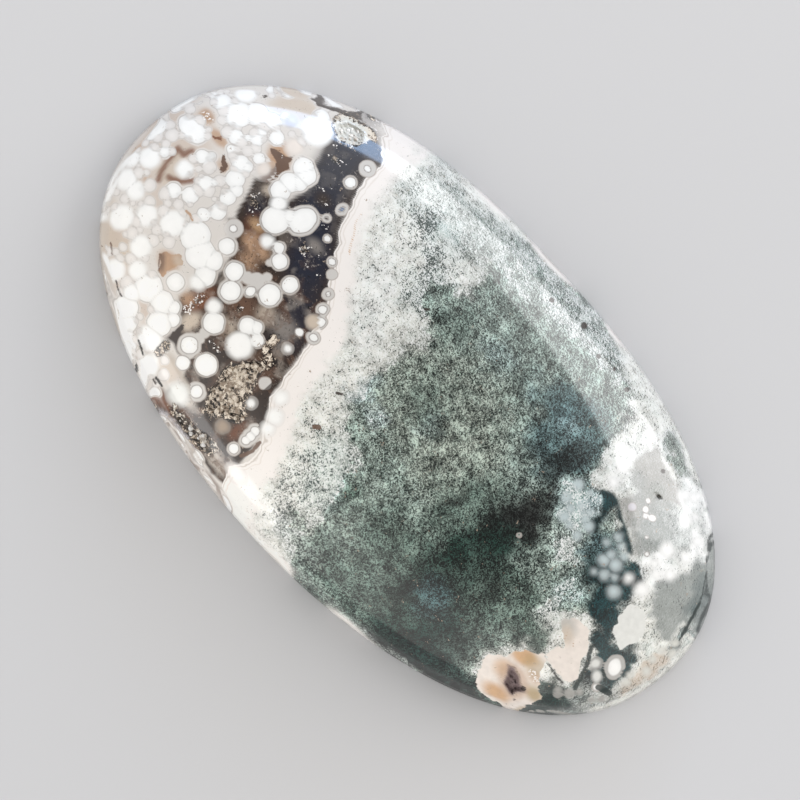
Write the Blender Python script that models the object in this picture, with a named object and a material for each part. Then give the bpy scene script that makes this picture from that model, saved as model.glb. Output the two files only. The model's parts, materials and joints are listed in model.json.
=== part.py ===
"""Oval cabochon of orbicular moss agate, 45 x 24 mm.

The stone lies on its flat back with its polished dome up. The origin is under
its middle, +X runs along the oval towards the grey chalcedony end, and +Z is up.
The body is a stack of rings that share one oval. Crystal-lined hollows, where
the polish stops, are cut into the dome afterwards.
"""

import math

import bmesh
import bpy
from mathutils import Vector, noise
from mathutils.bvhtree import BVHTree

MM = 0.001

# Driving dimensions
LENGTH = 45.0 * MM
WIDTH = 24.3 * MM
HEIGHT = 6.0 * MM

# The oval, fuller than an ellipse and a little uneven, as ground by hand
FULLNESS = 2.245
LEAN = 0.044
THREE_LOBE = 0.1 * MM

# The side, from the back up to the edge of the dome
BACK_BEVEL = 0.3 * MM
WALL_TOP = 1.7 * MM
WALL_TAPER = 0.6 * MM
SHOULDER_ROUND = 0.1 * MM

# The dome: how flat its crown is, how steeply it leaves the wall, and how the
# rings close up along the stone. Above 1, RING_CROWDING brings rings to the edge.
CROWN_FLATNESS = 2.6
CROWN_START = 1.2
END_ROUNDING = 2.5
RING_CROWDING = 1.35

SEGMENTS = 112
DOME_RINGS = 18

# Hollows: the edge as (x, y) in millimetres, and the depth below the dome
HOLLOWS = {
    "druse": (
        (
            (-7.9, -4.8),
            (-8.2, -5.6),
            (-8.6, -6.3),
            (-8.3, -7.0),
            (-8.35, -7.8),
            (-7.9, -8.6),
            (-7.4, -9.1),
            (-6.95, -8.6),
            (-6.4, -8.2),
            (-5.7, -8.1),
            (-5.6, -7.5),
            (-6.2, -7.35),
            (-6.4, -6.9),
            (-6.6, -6.2),
            (-6.9, -5.4),
            (-7.1, -4.6),
        ),
        0.32 * MM,
    ),
    "shoulder_druse": (
        (
            (-8.6, -10.35),
            (-7.9, -10.15),
            (-7.1, -10.2),
            (-6.6, -9.95),
            (-6.2, -9.9),
            (-6.0, -10.3),
            (-5.6, -10.5),
            (-5.8, -10.85),
            (-6.5, -10.75),
            (-7.2, -10.85),
            (-8.0, -10.8),
            (-8.55, -10.7),
        ),
        0.26 * MM,
    ),
    "crest_druse": (
        (
            (-14.8, 8.2),
            (-14.5, 7.75),
            (-14.0, 7.6),
            (-13.6, 7.85),
            (-13.1, 8.05),
            (-13.05, 8.6),
            (-13.4, 9.05),
            (-14.0, 8.95),
            (-14.5, 8.75),
        ),
        0.26 * MM,
    ),
    "ochre_pit": (
        (
            (15.7, -6.05),
            (16.15, -5.85),
            (16.6, -5.95),
            (16.9, -6.3),
            (17.3, -6.1),
            (17.4, -6.4),
            (17.15, -6.65),
            (17.1, -7.05),
            (16.7, -7.0),
            (16.2, -6.95),
            (16.05, -6.5),
        ),
        0.42 * MM,
    ),
    "round_pit": (
        (
            (14.42, 7.3),
            (14.3, 7.48),
            (14.1, 7.48),
            (13.98, 7.3),
            (14.1, 7.12),
            (14.3, 7.12),
        ),
        0.36 * MM,
    ),
}

# A hollow's cutter, from its lid down: size against the edge, and share of the
# depth. The floor is lumpy by this share of the depth.
LID_SIZE = 1.12
LID_RISE = 0.25 * MM
FLOOR_RINGS = ((0.84, 0.75), (0.60, 1.0), (0.30, 0.95))
LUMP_SIZE = 0.4 * MM
LUMP_SHARE = 0.35

STONE_COLOUR = (0.42, 0.46, 0.44, 1.0)
STONE_ROUGHNESS = 0.12
SHARP_EDGE = math.radians(35.0)


def clear_scene():
    """Remove every object that the scene holds."""
    for obj in list(bpy.data.objects):
        bpy.data.objects.remove(obj, do_unlink=True)


def oval():
    """The outline from above, as points in order that just fill the stone's box."""
    power = 2.0 / FULLNESS
    points = []
    for i in range(SEGMENTS):
        angle = 2.0 * math.pi * i / SEGMENTS
        cos = math.cos(angle)
        sin = math.sin(angle)
        y = WIDTH / 2 * math.copysign(abs(sin) ** power, sin)
        x = LENGTH / 2 * math.copysign(abs(cos) ** power, cos) + LEAN * y
        bulge = THREE_LOBE * math.sin(3.0 * math.atan2(y, x)) / math.hypot(x, y)
        points.append(Vector((x, y)) * (1.0 + bulge))
    low = Vector((min(p.x for p in points), min(p.y for p in points)))
    high = Vector((max(p.x for p in points), max(p.y for p in points)))
    middle = (low + high) / 2
    stretch = Vector((LENGTH / (high.x - low.x), WIDTH / (high.y - low.y)))
    return [(p - middle) * stretch for p in points]


def shrunk(point, inset):
    """A point of the oval moved in, where inset 0 is the rim and 1 the middle.

    Near the rim the oval keeps an even margin all round. Towards the middle its
    ends close up, so that the last ring is a point.
    """
    slimness = WIDTH / LENGTH
    along = 1.0 - slimness * inset - (1.0 - slimness) * inset**END_ROUNDING
    return Vector((point.x * along, point.y * (1.0 - inset)))


def dome_height(inset):
    """Height of the dome above the back, from its edge at 0 to the middle at 1."""
    rise = 1.0 - (1.0 - inset) ** CROWN_FLATNESS
    return WALL_TOP + (HEIGHT - WALL_TOP) * rise ** (1.0 / CROWN_START)


def profile():
    """The (inset, height) of each ring, from the back to the last ring of the dome."""
    edge = WALL_TAPER / (WIDTH / 2)
    dome_start = edge + SHOULDER_ROUND / (WIDTH / 2)
    rings = [
        (BACK_BEVEL / (WIDTH / 2), 0.0),
        (0.0, BACK_BEVEL),
        (edge / 2, (BACK_BEVEL + WALL_TOP) / 2),
        (edge, WALL_TOP),
    ]
    for i in range(1, DOME_RINGS):
        inset = dome_start + (1.0 - dome_start) * (i / DOME_RINGS) ** RING_CROWDING
        rings.append((inset, dome_height((inset - edge) / (1.0 - edge))))
    return rings


def body_mesh():
    """The closed body of the stone before its hollows are cut."""
    outline = oval()
    mesh = bmesh.new()
    loops = []
    for inset, height in profile():
        places = [shrunk(point, inset) for point in outline]
        loops.append([mesh.verts.new((at.x, at.y, height)) for at in places])
    mesh.faces.new(loops[0])
    for lower, upper in zip(loops, loops[1:]):
        join_loops(mesh, lower, upper)
    close_loop(mesh, loops[-1], mesh.verts.new((0.0, 0.0, HEIGHT)))
    bmesh.ops.recalc_face_normals(mesh, faces=mesh.faces)
    return mesh


def join_loops(mesh, lower, upper):
    """Join two loops of the same number of points with faces."""
    for i in range(len(lower)):
        j = (i + 1) % len(lower)
        mesh.faces.new((lower[i], lower[j], upper[j], upper[i]))


def close_loop(mesh, loop, middle):
    """Close a loop with a fan of triangles to one point."""
    for i in range(len(loop)):
        mesh.faces.new((loop[i], loop[(i + 1) % len(loop)], middle))


def dome_over(surface, place):
    """Height of the dome above a place of the back."""
    above = Vector((place.x, place.y, 2 * HEIGHT))
    return surface.ray_cast(above, Vector((0.0, 0.0, -1.0)))[0].z


def hollow_mesh(surface, edge, depth):
    """The shape that a hollow takes out of the dome, with a lumpy floor.

    The edge is a ring of places that all see the middle of the hollow.
    """
    middle = sum(edge, Vector((0.0, 0.0))) / len(edge)
    mesh = bmesh.new()
    lid = []
    for point in edge:
        at = middle + (point - middle) * LID_SIZE
        lid.append(mesh.verts.new((at.x, at.y, dome_over(surface, at) + LID_RISE)))
    loops = [lid]
    for size, share in FLOOR_RINGS:
        loop = []
        for point in edge:
            at = middle + (point - middle) * size
            lump = noise.noise(Vector((at.x, at.y, depth)) / LUMP_SIZE)
            height = dome_over(surface, at) - depth * (share + LUMP_SHARE * lump)
            loop.append(mesh.verts.new((at.x, at.y, height)))
        loops.append(loop)
    for lower, upper in zip(loops, loops[1:]):
        join_loops(mesh, lower, upper)
    top = dome_over(surface, middle)
    close_loop(mesh, lid, mesh.verts.new((middle.x, middle.y, top + LID_RISE)))
    close_loop(mesh, loops[-1], mesh.verts.new((middle.x, middle.y, top - depth)))
    bmesh.ops.recalc_face_normals(mesh, faces=mesh.faces)
    return mesh


def to_object(mesh, name):
    """Turn a bmesh into an object of the scene and free it."""
    data = bpy.data.meshes.new(name)
    mesh.to_mesh(data)
    mesh.free()
    obj = bpy.data.objects.new(name, data)
    bpy.context.scene.collection.objects.link(obj)
    return obj


def cut(body, mesh, name):
    """Take the mesh's shape out of the body with a hidden cutter."""
    cutter = to_object(mesh, f"cutter_{name}")
    cutter.hide_render = True
    cutter.display_type = "WIRE"
    modifier = body.modifiers.new(cutter.name, "BOOLEAN")
    modifier.operation = "DIFFERENCE"
    modifier.solver = "EXACT"
    modifier.object = cutter


def polished_stone():
    """The mean colour and the polish of the whole stone."""
    material = bpy.data.materials.new("polished_agate")
    material.use_nodes = True
    shader = material.node_tree.nodes["Principled BSDF"]
    shader.inputs["Base Color"].default_value = STONE_COLOUR
    shader.inputs["Roughness"].default_value = STONE_ROUGHNESS
    shader.inputs["Metallic"].default_value = 0.0
    return material


def main():
    """Build the stone and cut its hollows."""
    clear_scene()
    mesh = body_mesh()
    surface = BVHTree.FromBMesh(mesh)
    stone = to_object(mesh, "cabochon")
    stone.data.materials.append(polished_stone())
    for name, (edge, depth) in HOLLOWS.items():
        places = [Vector(place) * MM for place in edge]
        cut(stone, hollow_mesh(surface, places, depth), name)
    stone.data.shade_smooth()
    stone.data.set_sharp_from_angle(angle=SHARP_EDGE)


main()
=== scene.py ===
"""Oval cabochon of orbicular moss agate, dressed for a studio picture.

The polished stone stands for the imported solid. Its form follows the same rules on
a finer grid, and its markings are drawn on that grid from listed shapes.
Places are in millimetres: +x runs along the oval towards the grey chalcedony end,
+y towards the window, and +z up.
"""

import json
import logging
import math
from dataclasses import dataclass, field
from enum import Enum
from functools import partial

import bpy
import numpy as np
from mathutils import Matrix, Vector

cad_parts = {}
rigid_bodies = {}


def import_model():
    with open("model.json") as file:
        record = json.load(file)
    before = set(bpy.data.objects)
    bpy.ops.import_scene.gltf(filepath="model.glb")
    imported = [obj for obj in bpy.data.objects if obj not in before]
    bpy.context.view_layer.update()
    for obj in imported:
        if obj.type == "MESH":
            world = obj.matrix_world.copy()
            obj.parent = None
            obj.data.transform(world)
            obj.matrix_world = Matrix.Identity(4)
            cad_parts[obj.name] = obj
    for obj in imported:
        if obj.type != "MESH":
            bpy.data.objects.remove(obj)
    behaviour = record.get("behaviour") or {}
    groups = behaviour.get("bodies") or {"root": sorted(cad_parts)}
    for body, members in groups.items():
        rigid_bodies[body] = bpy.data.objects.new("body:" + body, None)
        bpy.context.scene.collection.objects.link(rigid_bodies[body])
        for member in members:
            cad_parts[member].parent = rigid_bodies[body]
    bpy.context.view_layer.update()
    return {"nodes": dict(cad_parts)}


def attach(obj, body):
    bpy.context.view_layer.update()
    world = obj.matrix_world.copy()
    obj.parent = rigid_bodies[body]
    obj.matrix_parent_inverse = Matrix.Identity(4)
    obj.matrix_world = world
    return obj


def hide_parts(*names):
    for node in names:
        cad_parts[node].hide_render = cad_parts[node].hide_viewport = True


MM = 0.001
QUARTZ_IOR = 1.54
USUAL_SKIN = 0.14

# How the stone's own colour follows from what is seen: the light of the gloss over
# it, the strength of the room's light, and the limits of the colour
GLOSS = 0.014
LAMP = 1.25
DARKEST = 0.003
BRIGHTEST = 0.9

Points = tuple[tuple[float, float], ...]
log = logging.getLogger("cabochon")


# ---------------------------------------------------------------- colours


def linear(level: float) -> float:
    """Turn one 0-255 display level into linear light.

    Args:
        level: The display level.

    Returns:
        The light, from 0 to 1.
    """
    share = level / 255.0
    return share / 12.92 if share <= 0.04045 else ((share + 0.055) / 1.055) ** 2.4


class Tint(Enum):
    """Colours of the stone as they look in soft light, as display levels."""

    WHITE = (253, 252, 250)
    MILK = (222, 216, 210)
    PINK_MILK = (236, 226, 218)
    LILAC = (214, 210, 215)
    SKIN = (208, 204, 200)
    MILK_SKIN = (230, 224, 219)
    GHOST = (238, 233, 229)
    FROST = (228, 228, 224)
    WARM_MILK = (206, 190, 177)
    SKIN_LINE = (176, 165, 156)
    CORE_LINE = (158, 152, 148)
    CREAM = (246, 240, 236)
    BEIGE = (205, 190, 174)
    WARM_GREY = (196, 186, 176)
    TAN = (188, 154, 126)
    GOLD = (180, 148, 116)
    RUST = (122, 78, 56)
    UMBER = (108, 84, 71)
    CHAR = (64, 55, 51)
    NAVY = (48, 50, 61)
    STEEL = (120, 134, 158)
    OCHRE = (206, 162, 116)
    OLIVE = (172, 148, 104)
    LICHEN = (224, 223, 216)
    PALE_MOSS = (187, 194, 189)
    MOSS = (115, 125, 119)
    BROWN_MOSS = (120, 126, 118)
    GREEN_MOSS = (80, 92, 86)
    TEAL = (66, 84, 87)
    DEEP_TEAL = (38, 51, 47)
    FERN = (62, 88, 76)
    FOREST = (23, 34, 28)
    SLATE = (38, 49, 47)
    ICE = (178, 196, 192)
    SKY = (196, 208, 210)
    BLUE_GREY = (130, 147, 149)
    CHALCEDONY = (170, 168, 163)
    SMOKE = (150, 154, 151)
    KHAKI = (238, 226, 210)
    MUD = (168, 151, 135)
    ABYSS = (38, 55, 57)
    PLUM = (122, 104, 104)
    INK = (34, 29, 28)

    def albedo(self) -> tuple[float, float, float]:
        """The colour of the stone itself, without the gloss that lies over it."""
        own = ((linear(level) - GLOSS) / LAMP for level in self.value)
        return tuple(min(max(light, DARKEST), BRIGHTEST) for light in own)

    def rgba(self) -> tuple[float, float, float, float]:
        """The stone's own colour with full alpha, for a colour socket."""
        return (*self.albedo(), 1.0)


# ------------------------------------------------------------ flat shapes


def wander(x: np.ndarray, y: np.ndarray, size: float, seed: float) -> np.ndarray:
    """A smooth uneven pattern of about -1 to 1.

    Args:
        x: Places along the stone.
        y: Places across it.
        size: How far apart the lumps are.
        seed: Picks one of many such patterns.

    Returns:
        The pattern at each place.
    """
    total = np.zeros_like(x)
    for i, pace in enumerate((0.8, 1.0, 1.35, 1.75, 2.3)):
        angle = seed * 1.7 + i * 2.4
        along = x * math.cos(angle) + y * math.sin(angle)
        across = y * math.cos(angle) - x * math.sin(angle)
        step = 2.0 * math.pi * pace / size
        bend = 1.4 * np.sin(across * step * 0.6 + seed + 2.0 * i)
        total += np.sin(along * step + seed * 3.1 + i * 1.3 + bend) / pace
    return total / 2.2


def soft_step(distance: np.ndarray, blur: float) -> np.ndarray:
    """1 well inside a shape and 0 well outside it.

    Args:
        distance: Distance to the shape's edge, below 0 inside.
        blur: Half the width of the change.

    Returns:
        The share at each place.
    """
    share = np.clip(0.5 - distance / (2.0 * blur), 0.0, 1.0)
    return share * share * (3.0 - 2.0 * share)


def line_distance(x: np.ndarray, y: np.ndarray, line: Points) -> np.ndarray:
    """Distance to a line of straight pieces.

    Args:
        x: Places along the stone.
        y: Places across it.
        line: The line's points.

    Returns:
        The distance at each place.
    """
    nearest = np.full_like(x, 1e3)
    for (ax, ay), (bx, by) in zip(line, line[1:]):
        dx, dy = bx - ax, by - ay
        share = ((x - ax) * dx + (y - ay) * dy) / max(dx * dx + dy * dy, 1e-9)
        share = np.clip(share, 0.0, 1.0)
        gap = np.hypot(x - ax - share * dx, y - ay - share * dy)
        nearest = np.minimum(nearest, gap)
    return nearest


def outline_distance(x: np.ndarray, y: np.ndarray, outline: Points) -> np.ndarray:
    """Distance to a closed outline, below 0 inside it.

    Args:
        x: Places along the stone.
        y: Places across it.
        outline: The corners in order.

    Returns:
        The distance at each place.
    """
    closed = (*outline, outline[0])
    inside = np.zeros(x.shape, bool)
    for (ax, ay), (bx, by) in zip(closed, closed[1:]):
        if ay == by:
            continue
        crosses = (ay > y) != (by > y)
        inside ^= crosses & (x < (bx - ax) * (y - ay) / (by - ay) + ax)
    gap = line_distance(x, y, closed)
    return np.where(inside, -gap, gap)


def path(text: str) -> Points:
    """Read places in millimetres.

    Args:
        text: The numbers of each place, with a comma between places.

    Returns:
        The places.
    """
    return tuple(tuple(float(part) for part in row.split()) for row in text.split(","))


class Shape:
    """Anything with an edge, drawn on the plan of the stone."""

    def reach(self) -> tuple[float, float, float, float]:
        """Lowest x, lowest y, highest x and highest y of the shape."""
        raise NotImplementedError

    def distance(self, x: np.ndarray, y: np.ndarray) -> np.ndarray:
        """Distance to the edge at each place, below 0 inside."""
        raise NotImplementedError


@dataclass(frozen=True)
class Round(Shape):
    """A round or oval shape.

    Attributes:
        x: Middle along the stone.
        y: Middle across it.
        radius: Half the size along its own long axis.
        slim: Short axis over long axis.
        turn: Degrees from +x to the long axis.
    """

    x: float
    y: float
    radius: float
    slim: float = 1.0
    turn: float = 0.0

    def reach(self) -> tuple[float, float, float, float]:
        """The box round the shape."""
        r = self.radius
        return self.x - r, self.y - r, self.x + r, self.y + r

    def distance(self, x: np.ndarray, y: np.ndarray) -> np.ndarray:
        """Distance to the oval, near enough when it isn't a circle.

        Args:
            x: Places along the stone.
            y: Places across it.

        Returns:
            The distance at each place, below 0 inside.
        """
        cos, sin = math.cos(math.radians(self.turn)), math.sin(math.radians(self.turn))
        along = (x - self.x) * cos + (y - self.y) * sin
        across = (y - self.y) * cos - (x - self.x) * sin
        share = np.hypot(along, across / self.slim)
        mean = self.radius * (1.0 + self.slim) / 2.0
        return (share / self.radius - 1.0) * (mean if self.slim < 1.0 else self.radius)


@dataclass(frozen=True)
class Patch(Shape):
    """A shape with a drawn outline."""

    corners: Points

    def reach(self) -> tuple[float, float, float, float]:
        """The box round the corners."""
        xs, ys = zip(*self.corners)
        return min(xs), min(ys), max(xs), max(ys)

    def distance(self, x: np.ndarray, y: np.ndarray) -> np.ndarray:
        """Distance to the outline."""
        return outline_distance(x, y, self.corners)


@dataclass(frozen=True)
class Stroke(Shape):
    """A line of even width, such as a crack or a vein."""

    line: Points
    half: float

    def reach(self) -> tuple[float, float, float, float]:
        """The box round the line."""
        xs, ys = zip(*self.line)
        h = self.half
        return min(xs) - h, min(ys) - h, max(xs) + h, max(ys) + h

    def distance(self, x: np.ndarray, y: np.ndarray) -> np.ndarray:
        """Distance to the stroke's edge."""
        return line_distance(x, y, self.line) - self.half


@dataclass(frozen=True)
class Wash:
    """A soft-edged colour laid over what is below it."""

    shape: Shape
    tint: Tint
    blur: float = 0.35
    strength: float = 1.0


@dataclass(frozen=True)
class Orb:
    """One white ball of chalcedony, cut through by the polish.

    Attributes:
        x: Middle along the stone.
        y: Middle across it.
        core: Radius of the white core. 0 for an orb that is only a ring.
        skin: Outer radius of the grey skin, or 0 for the usual one.
        slim: Short axis over long axis.
        turn: Degrees from +x to the long axis.
        blur: How softly the core ends.
        tint: Colour of the core.
    """

    x: float
    y: float
    core: float
    skin: float = 0.0
    slim: float = 1.0
    turn: float = 0.0
    blur: float = 0.0
    tint: Tint = Tint.WHITE

    def core_shape(self) -> Round:
        """The core's edge."""
        return Round(self.x, self.y, self.core, self.slim, self.turn)

    def skin_shape(self) -> Round:
        """The skin's outer edge.

        Returns:
            A round shape that keeps the skin evenly wide.
        """
        radius = self.skin or self.core + USUAL_SKIN
        slim = 1.0 - (1.0 - self.slim) * self.core / radius
        return Round(self.x, self.y, radius, slim, self.turn)


def rows(text: str) -> list[tuple[list[str], str]]:
    """Split a table whose rows each hold some words, a colon and a shape.

    Args:
        text: The table, with a semicolon between rows.

    Returns:
        The words and the shape's text of each row.
    """
    made = []
    for row in text.split(";"):
        words, _, shape = row.rpartition(":")
        made.append((words.split(), shape))
    return made


def drawn(text: str, known: dict[str, Points] | None = None) -> Shape:
    """Read one shape.

    Args:
        text: The numbers of a round shape, the corners of a patch or the name of a
            known outline. A half width and a slash before a line make a stroke.
        known: Outlines by name.

    Returns:
        The shape.
    """
    half, slash, places = text.rpartition("/")
    line = (known or {}).get(places.strip()) or path(places)
    if slash:
        return Stroke(line, float(half))
    return Patch(line) if len(line) > 1 else Round(*line[0])


def rounds(text: str) -> tuple[Round, ...]:
    """Read round shapes with a comma between them."""
    return tuple(Round(*row) for row in path(text))


def orbs(text: str) -> tuple[Orb, ...]:
    """Read orbs.

    Args:
        text: Rows of a tint and a blur, with x, y, core, skin, slim and turn of each
            orb, or as many of these as it needs.

    Returns:
        The orbs.
    """
    return tuple(
        Orb(*place, blur=float(blur), tint=Tint[tint])
        for (tint, blur), places in rows(text)
        for place in path(places)
    )


def washes(text: str, known: dict[str, Points] | None = None) -> tuple[Wash, ...]:
    """Read washes.

    Args:
        text: Rows of a tint and, where they aren't the usual ones, a blur and a
            strength, with a shape.
        known: Outlines by name.

    Returns:
        The washes, from the lowest up.
    """
    return tuple(
        Wash(drawn(shape, known), Tint[tint], *map(float, numbers))
        for (tint, *numbers), shape in rows(text)
    )


def tinted(text: str) -> tuple[tuple[Shape, Tint], ...]:
    """Read shapes of one even colour from rows of a tint and a shape."""
    return tuple((drawn(shape), Tint[tint]) for (tint,), shape in rows(text))


def levels(
    text: str, known: dict[str, Points] | None = None
) -> tuple[tuple[Shape, float, float], ...]:
    """Read what a level is brought to.

    Args:
        text: Rows of a value and a blur, with a shape.
        known: Outlines by name.

    Returns:
        Shape, value and blur of each row.
    """
    return tuple(
        (drawn(shape, known), float(value), float(blur))
        for (value, blur), shape in rows(text)
    )


@dataclass(frozen=True)
class OrbCloud:
    """Many small orbs scattered over a patch, as they grow of themselves.

    Attributes:
        patch: Where they grow.
        count: How many are tried.
        radii: Smallest and largest core.
        tint: Colour of the cores.
        blur: How softly they end.
        rim: Width of their skins.
        seed: Seed of their places.
        clear: Shapes in which none grow.
    """

    patch: Patch
    count: int
    radii: tuple[float, float]
    tint: Tint
    blur: float
    rim: float
    seed: int
    clear: tuple[Shape, ...]

    def orbs(self) -> list[Orb]:
        """Scatter the orbs so that none sits in the middle of another.

        Returns:
            The orbs.
        """
        draw = np.random.default_rng(self.seed)
        x0, y0, x1, y1 = self.patch.reach()
        spots = draw.uniform((x0, y0), (x1, y1), (self.count, 2))
        sizes = draw.uniform(*self.radii, self.count)
        inside = self.patch.distance(spots[:, 0], spots[:, 1]) < 0.0
        for shape in self.clear:
            inside &= shape.distance(spots[:, 0], spots[:, 1]) > 0.0
        made: list[Orb] = []
        for (x, y), size in zip(spots[inside], sizes[inside]):
            if all(math.hypot(x - o.x, y - o.y) > 0.8 * (size + o.core) for o in made):
                skin = size + self.rim
                made.append(Orb(x, y, size, skin, blur=self.blur, tint=self.tint))
        return made


@dataclass
class Canvas:
    """The stone's surface laid flat, on which fields and colours are drawn.

    Attributes:
        x: Place of each point along the stone.
        y: Place of each point across it.
    """

    x: np.ndarray
    y: np.ndarray

    def near(self, shape: Shape, margin: float) -> np.ndarray:
        """Which points lie within a margin of the shape's box."""
        x0, y0, x1, y1 = shape.reach()
        return np.nonzero(
            (self.x > x0 - margin)
            & (self.x < x1 + margin)
            & (self.y > y0 - margin)
            & (self.y < y1 + margin)
        )[0]

    def nearest(
        self, shapes: list[Shape], margin: float = 0.6
    ) -> tuple[np.ndarray, np.ndarray, np.ndarray]:
        """Distance to the nearest edge of several shapes, and whose it is.

        Args:
            shapes: The shapes.
            margin: The distance at which a shape no longer counts.

        Returns:
            The distance at each point, the number of the nearest shape or -1, and
            how much further the next shape is.
        """
        distance = np.full(self.x.shape, margin)
        second = np.full(self.x.shape, 2 * margin)
        owner = np.full(self.x.shape, -1)
        for number, shape in enumerate(shapes):
            at = self.near(shape, margin)
            gap = shape.distance(self.x[at], self.y[at])
            wins = gap < distance[at]
            second[at] = np.minimum(second[at], np.where(wins, distance[at], gap))
            distance[at[wins]] = gap[wins]
            owner[at[wins]] = number
        return distance, owner, second - distance

    def lay(self, colour: np.ndarray, coats: tuple[Wash, ...]) -> None:
        """Lay washes over a colour, in order.

        Args:
            colour: The colour of each point, changed in place.
            coats: What is laid over it.
        """
        for wash in coats:
            at = self.near(wash.shape, wash.blur)
            gap = wash.shape.distance(self.x[at], self.y[at])
            share = (soft_step(gap, wash.blur) * wash.strength)[:, None]
            tint = np.array(wash.tint.albedo())
            colour[at] = colour[at] * (1.0 - share) + tint * share

    def raise_to(self, level: np.ndarray, steps: tuple[tuple, ...]) -> None:
        """Bring a level towards given values inside soft shapes, in order.

        Args:
            level: The level of each point, changed in place.
            steps: Shape, value and blur of each.
        """
        for shape, value, blur in steps:
            at = self.near(shape, blur)
            share = soft_step(shape.distance(self.x[at], self.y[at]), blur)
            level[at] = level[at] * (1.0 - share) + value * share


# ---------------------------------------------------------- shared tools


def add_node(
    tree: bpy.types.NodeTree,
    kind: str,
    settings: dict[str, object] | None = None,
    sockets: dict[int | str, object] | None = None,
) -> bpy.types.Node:
    """Add one node to a tree.

    Args:
        tree: The tree.
        kind: The node's type.
        settings: Its settings, set first.
        sockets: Values of its inputs or sockets to link, by number or name.

    Returns:
        The node.
    """
    node = tree.nodes.new(kind)
    for name, value in (settings or {}).items():
        setattr(node, name, value)
    for key, value in (sockets or {}).items():
        if isinstance(value, bpy.types.NodeSocket):
            tree.links.new(value, node.inputs[key])
        else:
            node.inputs[key].default_value = value
    return node


def in_scene(name: str, data: bpy.types.ID) -> bpy.types.Object:
    """Make an object from its data and put it in the scene."""
    made = bpy.data.objects.new(name, data)
    bpy.context.scene.collection.objects.link(made)
    return made


class Wire:
    """An output socket, so that shader maths reads as an expression."""

    def __init__(self, board: "Board", socket: bpy.types.NodeSocket) -> None:
        """Keep the socket and the board that it is on."""
        self.board = board
        self.socket = socket

    def _with(self, operation: str, *values: object) -> "Wire":
        """One Math node on the given values."""
        sockets = dict(enumerate(values))
        return self.board.add("ShaderNodeMath", {"operation": operation}, sockets)

    def __add__(self, other: object) -> "Wire":
        """self + other."""
        return self._with("ADD", self, other)

    __radd__ = __add__

    def __sub__(self, other: object) -> "Wire":
        """self - other."""
        return self._with("SUBTRACT", self, other)

    def __rsub__(self, other: object) -> "Wire":
        """other - self."""
        return self._with("SUBTRACT", other, self)

    def __mul__(self, other: object) -> "Wire":
        """self * other."""
        return self._with("MULTIPLY", self, other)

    def __abs__(self) -> "Wire":
        """The value without its sign."""
        return self._with("ABSOLUTE", self)


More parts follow.
